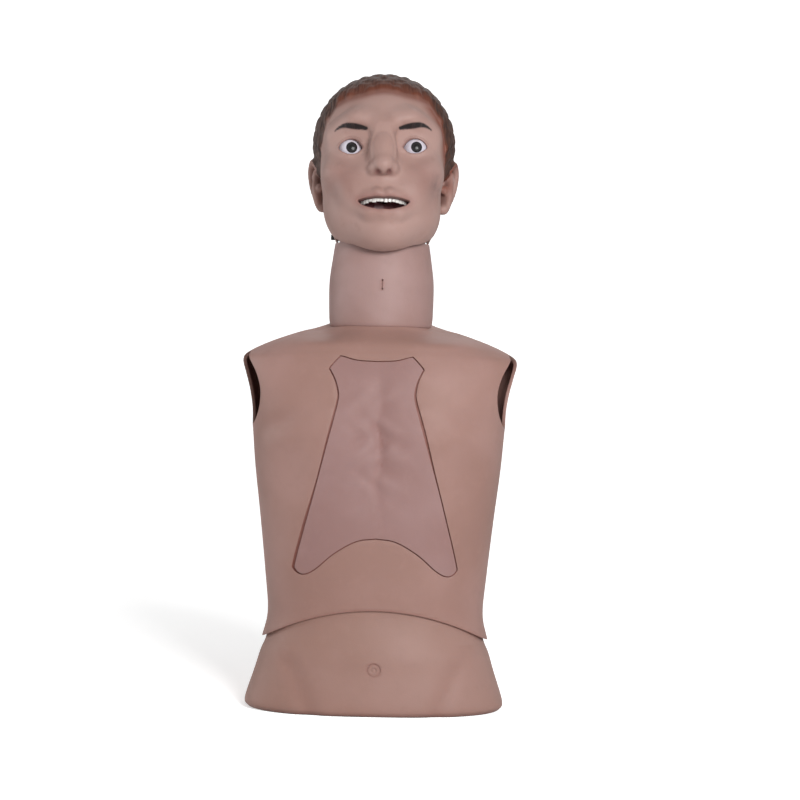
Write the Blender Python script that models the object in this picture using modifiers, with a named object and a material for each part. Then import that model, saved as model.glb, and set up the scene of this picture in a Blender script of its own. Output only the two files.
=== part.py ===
"""Nursing care manikin: a half body for practising tube feeding, suction and tracheostomy care.

A soft vinyl head sits on a ball-shaped collar, which turns on the neck and carries the two pins
that the head nods on. The vest-like chest shell has a lift-off plate over the lungs and windpipe.
The figure faces -Y, the neck stands on the Z axis, and the base plate rests on Z = 0. Metres.
"""

import math

import bmesh
import bpy
import numpy as np
from mathutils import Euler, Matrix, Vector

# Heights of the main stations, each above the one below it.
HIP_HEIGHT = 0.007
WAIST_RISE = 0.104
ARMPIT_RISE = 0.224
SHOULDER_RISE = 0.069
COLLAR_RISE = 0.045
PIVOT_RISE = 0.0985
WAIST_HEIGHT = HIP_HEIGHT + WAIST_RISE
ARMPIT_HEIGHT = WAIST_HEIGHT + ARMPIT_RISE
SHOULDER_HEIGHT = ARMPIT_HEIGHT + SHOULDER_RISE
COLLAR_HEIGHT = SHOULDER_HEIGHT + COLLAR_RISE
PIVOT_HEIGHT = COLLAR_HEIGHT + PIVOT_RISE

# Half widths and depths of the torso.
HIP_HALF_WIDTH = 0.150
HIP_FRONT = 0.094
HIP_BACK = 0.088
WAIST_HALF_WIDTH = 0.1256
WAIST_FRONT = 0.092
WAIST_BACK = 0.0845
CHEST_HALF_WIDTH = 0.148
CHEST_FRONT = 0.104
CHEST_BACK = 0.0915
SHOULDER_HALF_WIDTH = 0.1605
SHOULDER_FRONT = 0.0865
SHOULDER_BACK = 0.0845

# Shells and the gaps between them.
SHELL_WALL = 0.0035
BODY_WALL = 0.0035
SLIP_GAP = 0.0005
SEAT_GAP = 0.0003
EDGE_FLARE = 0.006
EDGE_SIDE_DROP = 0.029
EDGE_FRONT_RISE = 0.0095
SPIGOT_RISE = 0.040
FOOT_ROUND = 0.009
NAVEL_HEIGHT = 0.0537
NAVEL_RADIUS = 0.0072
NAVEL_GROOVE = 0.0009

# Base plate and its screws.
BASE_THICKNESS = 0.005
BASE_FLANGE = 0.004
FLANGE_REACH = 0.016
SCREW_RADIUS = 0.002
SCREW_HEAD_RADIUS = 0.004
SCREW_SINK = 0.0028
SCREW_SPACING_X = 0.124
SCREW_SPACING_Y = 0.070

# Arm openings.
ARM_HOLE_RISE = 0.0355
ARM_HOLE_DEPTH = 0.047
ARM_HOLE_FORWARD = 0.013

# Lift-off chest plate and the seat that it lies in.
PLATE_DROP = 0.0027
PLATE_TOP = SHOULDER_HEIGHT - PLATE_DROP
PLATE_THICKNESS = 0.0030
PLATE_CLEARANCE = 0.0010
LEDGE_THICKNESS = 0.0032
LEDGE_OVERLAP = 0.005
PEG_RADIUS = 0.0020
PEG_CLEARANCE = 0.0003
PEG_LENGTH = 0.0058
SOCKET_WALL = 0.0018
UPPER_PEG_X = 0.0405
UPPER_PEG_DROP = 0.0103
LOWER_PEG_X = 0.0795
LOWER_PEG_DROP = 0.2248

# Neck.
NECK_TOP_RADIUS = 0.055
NECK_MIDDLE_RADIUS = 0.061
NECK_SKIN = 0.0025
CORE_WALL = 0.0035
NECK_HOLE_RADIUS = 0.0535
NECK_HOLE_CLEARANCE = 0.0012
NECK_TOP_DROP = 0.0105
SLIT_RISE = 0.0415
SLIT_HEIGHT = COLLAR_HEIGHT + SLIT_RISE
SLIT_LENGTH = 0.0105
SLIT_WIDTH = 0.0014
SLIT_EYE_RADIUS = 0.0016

# Ball collar between neck and head, and the pins that the head nods on.
BALL_RADIUS = 0.0505
BALL_WALL = 0.005
BALL_RISE = 0.020
BALL_SKIRT = 0.011
BALL_CLEARANCE = 0.0014
PIN_RADIUS = 0.0022
PIN_CLEARANCE = 0.0003
PIN_HEAD_RADIUS = 0.0032
KNOB_LENGTH = 0.0062
FLAT_HEAD_LENGTH = 0.0014
LUG_RADIUS = 0.0068
LUG_THICKNESS = 0.0018
LUG_OUTER = BALL_RADIUS + BALL_CLEARANCE + LUG_THICKNESS

# Head pose and its main sizes. Places on the head are given from the point midway between the ears.
HEAD_TILT = math.radians(12.0)
NOD_FORWARD = math.radians(15.0)
NOD_CLEARANCE = 0.0023
HEAD_TURN = math.radians(1.0)
PIVOT_BELOW_EARS = 0.065
PIVOT_BEHIND_EARS = 0.012
EYE_RADIUS = 0.0150
EYE_SIDE = 0.0366
EYE_FORWARD = 0.0565
EYE_UP = 0.0210
EYE_GAP = 0.0003
LID_THICKNESS = 0.0022
EYE_OPENING_WIDTH = 0.0270
EYE_OPENING_HEIGHT = 0.0150
NOSTRIL_SIDE = 0.0062
HAIR_MIDDLE = (0, 0.0085, 0.0460)
HAIR_RADII = (0.0785, 0.0930, 0.0785)
SKULL_HOLLOW_MIDDLE = (0, 0.022, 0.036)
SKULL_HOLLOW_RADII = (0.068, 0.066, 0.078)
MOUTH_HALF_WIDTH = 0.0295
MOUTH_UP = -0.0530
MOUTH_HALF_HEIGHT = 0.0068
MOUTH_FORWARD = 0.0905
CAVITY_FORWARD = 0.0660
CAVITY_RADII = (0.031, 0.020, 0.0195)
LINING_WALL = 0.0018
THROAT_RADIUS = 0.0085
RIM_RISE = 0.006
TOOTH_EDGE = 0.0030
TOOTH_THICKNESS = 0.0024
HEAD_CELL = 0.0031
HEAD_KEEP = 0.052

# Parts inside the body.
COLUMN_RADIUS = 0.016
COLUMN_WALL = 0.003
COLUMN_BACK = 0.046
COLUMN_FLANGE_RADIUS = 0.026
COLUMN_FLANGE = 0.005
COLUMN_CHAMFER = 0.004
COLUMN_CLEARANCE = 0.0010
SHOULDER_PLATE_DROP = 0.025
SHOULDER_PLATE_TOP = COLLAR_HEIGHT - SHOULDER_PLATE_DROP
SHOULDER_PLATE_THICKNESS = 0.006
TRAY_THICKNESS = 0.004
TRAY_HALF_WIDTH = 0.092
TRAY_RISE = 0.047
TRAY_BOTTOM = WAIST_HEIGHT + TRAY_RISE
TRAY_DROP = 0.028
TRAY_TOP = SHOULDER_PLATE_TOP - TRAY_DROP
SHELF_DEPTH = 0.062
TRACHEA_FORWARD = 0.010
TRACHEA_RADIUS = 0.0088
TRACHEA_BORE = 0.0062
TRACHEA_END_DROP = 0.072
TRACHEA_BOTTOM = SHOULDER_PLATE_TOP - TRACHEA_END_DROP
GULLET_BACK = 0.0115
GULLET_RADIUS = 0.0072
GULLET_BORE = 0.0045
GULLET_END_RISE = 0.068
GULLET_BOTTOM = TRAY_BOTTOM + GULLET_END_RISE
LARYNX_DROP = 0.0045
LARYNX_TOP = PIVOT_HEIGHT - LARYNX_DROP
LARYNX_HEIGHT = 0.030
LARYNX_RADIUS = 0.026
NECK_SHELF_THICKNESS = 0.004
STOMA_RADIUS = 0.0065
STOMA_BORE = 0.0045
TRACHEA_PITCH = 0.0125
LUNG_GAP = 0.0125
LUNG_DROP = 0.008
LUNG_TOP = TRAY_TOP - LUNG_DROP
STOMACH_ROOM = 0.068

RING_POINTS = 28


def collection(name):
    group = bpy.data.collections.new(name)
    bpy.context.scene.collection.children.link(group)
    return group


def material(name, colour, roughness, metallic=0.0):
    made = bpy.data.materials.new(name)
    made.use_nodes = True
    shader = made.node_tree.nodes["Principled BSDF"]
    shader.inputs["Base Color"].default_value = (*colour, 1.0)
    shader.inputs["Roughness"].default_value = roughness
    shader.inputs["Metallic"].default_value = metallic
    return made


def piece(name, mesh, finish=None, smooth=True):
    """A named part of the manikin, or a cutter where it has no finish."""
    made = bpy.data.objects.new(name, mesh)
    if finish is None:
        CUTTERS.objects.link(made)
        made.hide_render = True
        made.display_type = "WIRE"
    else:
        PARTS.objects.link(made)
        mesh.materials.clear()
        mesh.materials.append(finish)
        if smooth:
            mesh.shade_smooth()
            mesh.set_sharp_from_angle(angle=math.radians(35))
    return made


def mesh_from(name, build):
    """A mesh filled by a function that works on a bmesh, with its faces turned outwards."""
    mesh = bpy.data.meshes.new(name)
    work = bmesh.new()
    build(work)
    bmesh.ops.recalc_face_normals(work, faces=work.faces)
    work.to_mesh(mesh)
    work.free()
    return mesh


def evaluated(thing):
    """The mesh of an object with its modifiers applied, in world space."""
    bpy.context.view_layer.update()
    shown = thing.evaluated_get(bpy.context.evaluated_depsgraph_get())
    mesh = bpy.data.meshes.new_from_object(shown)
    mesh.transform(thing.matrix_world)
    return mesh


def boolean(target, cutter, operation):
    step = target.modifiers.new(cutter.name, "BOOLEAN")
    step.operation = operation
    step.object = cutter
    step.solver = "EXACT"


def cut(target, *cutters):
    for cutter in cutters:
        boolean(target, cutter, "DIFFERENCE")


def join(target, *others):
    for other in others:
        boolean(target, other, "UNION")


def keep(target, *others):
    for other in others:
        boolean(target, other, "INTERSECT")


def cylinder(name, start, end, radius, sides=20, end_radius=None):
    """A closed cylinder or cone between two points."""
    start, end = Vector(start), Vector(end)
    along = end - start
    place = Matrix.Translation((start + end) / 2) @ along.to_track_quat("Z", "Y").to_matrix().to_4x4()

    def build(work):
        bmesh.ops.create_cone(work, cap_ends=True, segments=sides, radius1=radius,
                              radius2=radius if end_radius is None else end_radius,
                              depth=along.length, matrix=place)

    return mesh_from(name, build)


def ball(name, centre, radii, across=16, rings=10):
    place = Matrix.LocRotScale(Vector(centre), None, Vector(radii))

    def build(work):
        bmesh.ops.create_uvsphere(work, u_segments=across, v_segments=rings, radius=1, matrix=place)

    return mesh_from(name, build)


def block(name, low, high):
    middle = (Vector(low) + Vector(high)) / 2
    place = Matrix.LocRotScale(middle, None, Vector(high) - Vector(low))
    return mesh_from(name, lambda work: bmesh.ops.create_cube(work, size=1, matrix=place))


def turned(name, profile, centre=(0, 0, 0), sides=32):
    """A closed profile of (radius, height) points, listed down its outer side, turned round Z."""
    mesh = bpy.data.meshes.new(name)
    points = [(radius, 0, height) for radius, height in profile]
    pairs = [(i, (i + 1) % len(points)) for i in range(len(points))]
    off_axis = [(i, j) for i, j in pairs if points[i][0] > 0 or points[j][0] > 0]
    mesh.from_pydata(points, off_axis, [])
    shape = bpy.data.objects.new(name, mesh)
    CUTTERS.objects.link(shape)
    screw = shape.modifiers.new("Turn", "SCREW")
    screw.steps = sides
    screw.render_steps = sides
    screw.use_merge_vertices = True
    screw.merge_threshold = 0.00001
    shape.location = centre
    made = evaluated(shape)
    bpy.data.objects.remove(shape)
    made.name = name
    return made


def smooth_path(points, per_gap):
    """Points along a Catmull-Rom curve through the given rows, which may hold any number of values."""
    rows = np.array(points, float)
    padded = np.vstack([2 * rows[0] - rows[1], rows, 2 * rows[-1] - rows[-2]])
    path = []
    for a, b, c, d in zip(padded, padded[1:], padded[2:], padded[3:]):
        for t in np.arange(per_gap) / per_gap:
            path.append(0.5 * (2 * b + (c - a) * t + (2 * a - 5 * b + 4 * c - d) * t ** 2
                               + (3 * b - a - 3 * c + d) * t ** 3))
    return np.array(path + [rows[-1]])


def loft(name, rings):
    """A closed skin over a stack of rings with as many points each, with flat ends."""
    rings = np.asarray(rings, float)

    def build(work):
        rows = [[work.verts.new(point) for point in ring] for ring in rings]
        for lower, upper in zip(rows, rows[1:]):
            for i in range(len(lower)):
                j = (i + 1) % len(lower)
                work.faces.new((lower[i], lower[j], upper[j], upper[i]))
        work.faces.new(rows[0][::-1])
        work.faces.new(rows[-1])

    return mesh_from(name, build)


def oval(height, half_width, front, back, squareness, count=RING_POINTS):
    """One level section of the body: a superellipse with its own depth to the front and back."""
    angle = np.arange(count) * 2 * np.pi / count
    c, s = np.cos(angle), np.sin(angle)
    power = 2 / squareness
    x = half_width * np.sign(c) * np.abs(c) ** power
    depth = np.where(s < 0, front, back)
    y = depth * np.sign(s) * np.abs(s) ** power
    return np.column_stack([x, y, np.full(count, height)])


def sunk(rings, depth):
    """The rings moved inwards along the surface's normals, or outwards for a negative depth."""
    rings = np.asarray(rings, float)
    around = np.roll(rings, -1, axis=1) - np.roll(rings, 1, axis=1)
    up = np.gradient(rings, axis=0)
    normal = np.cross(around, up)
    normal /= np.linalg.norm(normal, axis=2, keepdims=True)
    return rings - normal * depth


def swell(x, z, centre_x, centre_z, wide, tall, height):
    """A soft mound of the surface, mirrored to both sides."""
    return height * np.exp(-((np.abs(x) - centre_x) / wide) ** 2 - ((z - centre_z) / tall) ** 2)


def chest_relief(x, z):
    """How far the modelled muscles and bones stand forward of the plain oval section."""
    return (swell(x, z, 0.072, ARMPIT_HEIGHT - 0.012, 0.045, 0.040, 0.0055)
            + swell(x, z, 0.070, COLLAR_HEIGHT - 0.028, 0.045, 0.007, 0.0018)
            - swell(x, z, 0.0, COLLAR_HEIGHT - 0.016, 0.014, 0.010, 0.0015)
            - swell(x, z, 0.0, ARMPIT_HEIGHT - 0.010, 0.014, 0.060, 0.0020)
            + swell(x, z, 0.060, WAIST_HEIGHT + 0.110, 0.050, 0.035, 0.0015))


def plate_relief(x, z):
    """Breastbone groove and rib ends moulded in the plate."""
    ribs = 0.0007 * np.cos((z - 0.30 + 0.35 * np.abs(x)) * 2 * np.pi / 0.034)
    return (ribs * np.exp(-((np.abs(x) - 0.022) / 0.016) ** 2 - ((z - 0.305) / 0.06) ** 2)
            - swell(x, z, 0.0, 0.300, 0.008, 0.070, 0.0012)
            + swell(x, z, 0.020, 0.375, 0.018, 0.012, 0.0012))


def body_stations():
    """Sections of the chest shell: height, half width, front, back and squareness."""
    collar = COLLAR_HEIGHT
    edge = WAIST_HEIGHT - EDGE_SIDE_DROP
    middle = (WAIST_HEIGHT + ARMPIT_HEIGHT) / 2
    narrow = 0.52 * WAIST_HALF_WIDTH + 0.48 * CHEST_HALF_WIDTH
    wide = (CHEST_HALF_WIDTH + SHOULDER_HALF_WIDTH) / 2
    return [
        (edge - 0.020, WAIST_HALF_WIDTH + EDGE_FLARE + 0.005, WAIST_FRONT + 0.010, WAIST_BACK + 0.008, 2.35),
        (edge, WAIST_HALF_WIDTH + EDGE_FLARE, WAIST_FRONT + 0.0055, WAIST_BACK + 0.004, 2.35),
        (WAIST_HEIGHT, WAIST_HALF_WIDTH, WAIST_FRONT, WAIST_BACK, 2.35),
        (0.6 * WAIST_HEIGHT + 0.4 * middle, WAIST_HALF_WIDTH + 0.0035, WAIST_FRONT + 0.002, WAIST_BACK + 0.002, 2.4),
        (middle, narrow, 0.5 * (WAIST_FRONT + CHEST_FRONT), 0.5 * (WAIST_BACK + CHEST_BACK), 2.4),
        (0.5 * (middle + ARMPIT_HEIGHT), CHEST_HALF_WIDTH - 0.005, CHEST_FRONT - 0.0015, CHEST_BACK - 0.001, 2.45),
        (ARMPIT_HEIGHT, CHEST_HALF_WIDTH, CHEST_FRONT - 0.001, CHEST_BACK, 2.5),
        (0.6 * ARMPIT_HEIGHT + 0.4 * SHOULDER_HEIGHT, wide - 0.001, CHEST_FRONT - 0.005, CHEST_BACK - 0.001, 2.6),
        (0.25 * ARMPIT_HEIGHT + 0.75 * SHOULDER_HEIGHT, SHOULDER_HALF_WIDTH - 0.002, SHOULDER_FRONT + 0.007,
         SHOULDER_BACK + 0.004, 2.7),
        (SHOULDER_HEIGHT, SHOULDER_HALF_WIDTH, SHOULDER_FRONT, SHOULDER_BACK, 2.7),
        (0.8 * SHOULDER_HEIGHT + 0.2 * collar, SHOULDER_HALF_WIDTH - 0.0085, SHOULDER_FRONT - 0.0035,
         SHOULDER_BACK - 0.0025, 2.5),
        (0.53 * SHOULDER_HEIGHT + 0.47 * collar, SHOULDER_HALF_WIDTH - 0.0335, SHOULDER_FRONT - 0.011,
         SHOULDER_BACK - 0.008, 2.3),
        (0.23 * SHOULDER_HEIGHT + 0.77 * collar, NECK_HOLE_RADIUS + 0.0365, NECK_HOLE_RADIUS + 0.0065,
         NECK_HOLE_RADIUS + 0.011, 1.65),
        (collar, NECK_HOLE_RADIUS + 0.0055, NECK_HOLE_RADIUS - 0.003, NECK_HOLE_RADIUS + 0.0045, 1.9),
        (collar + 0.006, NECK_HOLE_RADIUS - 0.002, NECK_HOLE_RADIUS - 0.006, NECK_HOLE_RADIUS - 0.002, 2.0),
    ]


def body_rings(per_gap=2, count=RING_POINTS):
    rings = np.array([oval(*row, count=count) for row in smooth_path(body_stations(), per_gap)])
    x, y, z = rings[..., 0], rings[..., 1], rings[..., 2]
    facing = np.clip(-y / (0.6 * CHEST_FRONT), 0, 1)
    rings[..., 1] -= chest_relief(x, z) * facing
    return rings


def front_depth(x, z):
    """The y of the chest's outer surface at the front, at a place given by x and z."""
    rows = smooth_path(body_stations(), 8)
    rows = rows[np.argsort(rows[:, 0])]
    half_width, front, squareness = (np.interp(z, rows[:, 0], rows[:, k]) for k in (1, 2, 4))
    inside = np.clip(1 - (np.abs(x) / half_width) ** squareness, 0, 1)
    y = -front * inside ** (1 / squareness)
    return y - chest_relief(x, z) * np.clip(-y / (0.6 * CHEST_FRONT), 0, 1)


def front_slab(name, half_width, low, high, outer, inner, relief=None, spacing=0.0170):
    """A slab that follows the front of the chest, between two depths behind its surface."""
    across = np.linspace(-half_width, half_width, 2 * round(half_width / spacing) + 1)
    up = np.linspace(low, high, round((high - low) / spacing) + 1)
    x, z = np.meshgrid(across, up)
    y = front_depth(x, z)
    raised = relief(x, z) if relief else 0

    def build(work):
        faces = [[[work.verts.new(p) for p in row] for row in np.stack([x, layer, z], axis=2)]
                 for layer in (y + outer - raised, y + inner + 0 * x)]
        for layer in faces:
            for a, b in zip(layer, layer[1:]):
                for i in range(len(a) - 1):
                    work.faces.new((a[i], a[i + 1], b[i + 1], b[i]))
        first, last = faces
        sides = [(first[0], last[0]), (first[-1], last[-1]),
                 ([row[0] for row in first], [row[0] for row in last]),
                 ([row[-1] for row in first], [row[-1] for row in last])]
        for a, b in sides:
            for i in range(len(a) - 1):
                work.faces.new((a[i], a[i + 1], b[i + 1], b[i]))

    return mesh_from(name, build)


def prism(name, outline, near, far):
    """A flat outline of (x, z) points drawn out along Y from near to far."""
    curve = bpy.data.curves.new(name, "CURVE")
    curve.dimensions = "2D"
    curve.fill_mode = "BOTH"
    curve.extrude = (far - near) / 2
    line = curve.splines.new("POLY")
    line.points.add(len(outline) - 1)
    for point, (x, z) in zip(line.points, outline):
        point.co = (x, z, 0, 1)
    line.use_cyclic_u = True
    shape = bpy.data.objects.new(name, curve)
    CUTTERS.objects.link(shape)
    shape.rotation_euler = (math.pi / 2, 0, 0)
    shape.location = (0, (near + far) / 2, 0)
    mesh = evaluated(shape)
    bpy.data.objects.remove(shape)

    work = bmesh.new()
    work.from_mesh(mesh)
    bmesh.ops.remove_doubles(work, verts=work.verts, dist=0.00002)
    bmesh.ops.recalc_face_normals(work, faces=work.faces)
    work.to_mesh(mesh)
    work.free()
    return mesh


def mirrored(half):
    """A closed outline from its right half, listed from the top middle to the bottom middle."""
    half = [tuple(point) for point in half]
    left = [(-x, z) for x, z in half[::-1] if abs(x) > 0.00001]
    return half + left


def widened(outline, distance):
    """An outline moved outwards by a distance, or inwards for a negative one."""
    points = np.array(outline)
    ahead = np.roll(points, -1, axis=0) - points
    ahead /= np.linalg.norm(ahead, axis=1, keepdims=True)
    behind = np.roll(ahead, 1, axis=0)
    along = ahead + behind
    along /= np.linalg.norm(along, axis=1, keepdims=True)
    out = np.column_stack([-along[:, 1], along[:, 0]])
    return [tuple(p) for p in points + out * distance]


def plate_outline(grow=0.0):
    """The bell-shaped edge of the chest plate: horns, waist, side, lobe and arch."""
    top = PLATE_TOP
    half = [(0, top), (0.022, top + 0.0005), (0.0428, top + 0.0045), (0.0515, top - 0.004), (0.0465, top - 0.018),
            (0.0410, top - 0.034), (0.0465, top - 0.061), (0.0573, top - 0.099), (0.0758, top - 0.168),
            (0.0904, top - 0.2255), (0.0905, top - 0.236), (0.0820, top - 0.241), (0.0690, top - 0.235),
            (0.0477, top - 0.2165), (0.0225, top - 0.202), (0, top - 0.1985)]
    outline = mirrored(smooth_path(half, 2))
    return widened(outline, grow)


def window_outline():
    """The hole behind the plate: narrower than the plate, so that its seat stays all round."""
    top = PLATE_TOP - 0.010
    half = [(0, top), (0.026, top), (0.0300, top - 0.006), (0.0290, top - 0.028), (0.0350, top - 0.060),
            (0.0470, top - 0.105), (0.0600, top - 0.150), (0.0640, top - 0.166), (0.0590, top - 0.174),
            (0.030, top - 0.1745), (0, top - 0.1745)]
    return mirrored(smooth_path(half, 2))


def plate_pegs():
    for x, drop in ((UPPER_PEG_X, UPPER_PEG_DROP), (LOWER_PEG_X, LOWER_PEG_DROP)):
        for side in (-1, 1):
            yield side * x, PLATE_TOP - drop


def tube(name, points, radius, sides=3, swell_by=None):
    """A round rod through points, as a closed mesh, which may swell from point to point."""
    curve = bpy.data.curves.new(name, "CURVE")
    curve.dimensions = "3D"
    curve.bevel_depth = radius
    curve.bevel_resolution = sides
    curve.use_fill_caps = True
    line = curve.splines.new("POLY")
    line.points.add(len(points) - 1)
    for i, place in enumerate(points):
        line.points[i].co = (*place, 1)
        line.points[i].radius = 1 if swell_by is None else swell_by[i]
    shape = bpy.data.objects.new(name, curve)
    CUTTERS.objects.link(shape)
    mesh = evaluated(shape)
    bpy.data.objects.remove(shape)
    work = bmesh.new()
    work.from_mesh(mesh)
    bmesh.ops.remove_doubles(work, verts=work.verts, dist=0.00002)
    bmesh.ops.recalc_face_normals(work, faces=work.faces)
    work.to_mesh(mesh)
    work.free()
    return mesh


class Clay:
    """A block of sample points that holds the signed distance to a surface built up from soft lumps.

    Only the half with x of zero or more is stored, because the head is the same on both sides.
    """

    def __init__(self, low, high, cell):
        self.cell = cell
        self.axes = [np.arange(a, b + cell, cell) for a, b in zip(low, high)]
        self.field = np.full([len(axis) for axis in self.axes], 0.05)

    def near(self, low, high):
        cuts = tuple(slice(*np.searchsorted(axis, (a, b))) for axis, a, b in zip(self.axes, low, high))
        return cuts, np.meshgrid(*(axis[c] for axis, c in zip(self.axes, cuts)), indexing="ij", sparse=True)

    def blend(self, cuts, distance, soft, carve):
        old = self.field[cuts]
        if carve:
            distance, old = -distance, old
            mix = np.clip(0.5 - 0.5 * (distance - old) / soft, 0, 1)
            self.field[cuts] = distance + (old - distance) * mix + soft * mix * (1 - mix)
        else:
            mix = np.clip(0.5 + 0.5 * (old - distance) / soft, 0, 1)
            self.field[cuts] = old + (distance - old) * mix - soft * mix * (1 - mix)

    def lump(self, centre, radii, soft=0.006, turn=(0, 0, 0), carve=False):
        """Adds or carves an ellipsoid, blended in over a soft distance."""
        centre, radii = np.array(centre), np.array(radii)
        reach = (radii.max() if any(turn) else radii) + soft + 2 * self.cell
        cuts, points = self.near(centre - reach, centre + reach)
        offset = [p - c for p, c in zip(points, centre)]
        rows = np.array(Euler(turn).to_matrix().transposed())
        local = [sum(r * o for r, o in zip(row, offset)) for row in rows]
        k0 = np.sqrt(sum((p / r) ** 2 for p, r in zip(local, radii)))
        k1 = np.sqrt(sum((p / r ** 2) ** 2 for p, r in zip(local, radii)))
        self.blend(cuts, k0 * (k0 - 1) / np.maximum(k1, 1e-6), soft, carve)

    def roll(self, points, radii, soft=0.004, carve=False):
        """Adds or carves a tapering roll along a bent line."""
        points = np.array(points, float)
        for start, end, r0, r1 in zip(points, points[1:], radii, radii[1:]):
            reach = max(r0, r1) + soft + 2 * self.cell
            cuts, grid = self.near(np.minimum(start, end) - reach, np.maximum(start, end) + reach)
            axis = end - start
            offset = [p - c for p, c in zip(grid, start)]
            share = np.clip(sum(o * a for o, a in zip(offset, axis)) / axis.dot(axis), 0, 1)
            gap = np.sqrt(sum((o - share * a) ** 2 for o, a in zip(offset, axis)))
            self.blend(cuts, gap - (r0 + (r1 - r0) * share), soft, carve)

    def settle(self):
        """Fills the corners at which the surface would touch itself along a single edge."""
        while True:
            solid = self.field < 0
            fill = np.zeros_like(solid)
            for p, q in ((0, 1), (1, 2), (2, 0)):
                corners = []
                for op, oq in ((0, 0), (1, 0), (1, 1), (0, 1)):
                    pick = [slice(None)] * 3
                    pick[p] = slice(op, solid.shape[p] - 1 + op)
                    pick[q] = slice(oq, solid.shape[q] - 1 + oq)
                    corners.append(tuple(pick))
                a, b, c, d = (solid[corner] for corner in corners)
                touching = (a == c) & (b == d) & (a != b)
                for corner in corners:
                    fill[corner] |= touching
            fill &= ~solid
            if not fill.any():
                return
            self.field[fill] = -0.05 * self.cell

    def skin(self, name):
        """The zero surface as a closed mesh: one point for each cell that the surface crosses."""
        self.settle()
        field = np.concatenate([self.field[:0:-1], self.field])
        low = np.array([-self.axes[0][-1], self.axes[1][0], self.axes[2][0]])
        shape = tuple(n - 1 for n in field.shape)
        total, count, crossings = np.zeros(shape + (3,)), np.zeros(shape), []
        for axis in range(3):
            before = field[tuple(slice(0, -1) if d == axis else slice(None) for d in range(3))]
            after = field[tuple(slice(1, None) if d == axis else slice(None) for d in range(3))]
            crosses = (before < 0) != (after < 0)
            share = np.where(crosses, before / np.where(crosses, before - after, 1), 0)
            crossings.append((crosses, before < 0))
            p, q = [d for d in range(3) if d != axis]
            for op in (0, 1):
                for oq in (0, 1):
                    pick = [slice(None)] * 3
                    pick[p] = slice(op, op + shape[p])
                    pick[q] = slice(oq, oq + shape[q])
                    here = crosses[tuple(pick)]
                    total[..., axis] += share[tuple(pick)] * here
                    total[..., p] += here * op
                    total[..., q] += here * oq
                    count += here
        used = count > 0
        index = np.full(shape, -1)
        index[used] = np.arange(used.sum())
        points = (np.argwhere(used) + total[used] / count[used][:, None]) * self.cell + low
        faces = []
        for axis, (crosses, starts_inside) in enumerate(crossings):
            unit = np.eye(3, dtype=int)
            u, v = unit[(axis + 1) % 3], unit[(axis + 2) % 3]
            at = np.argwhere(crosses)
            quad = np.stack([index[tuple((at - step).T)] for step in (0 * u, u, u + v, v)], axis=1)
            inside = starts_inside[crosses]
            faces.append(np.where(inside[:, None], quad, quad[:, ::-1]))
        mesh = bpy.data.meshes.new(name)
        mesh.from_pydata(points.tolist(), [], np.concatenate(faces).tolist())
        return mesh


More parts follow.
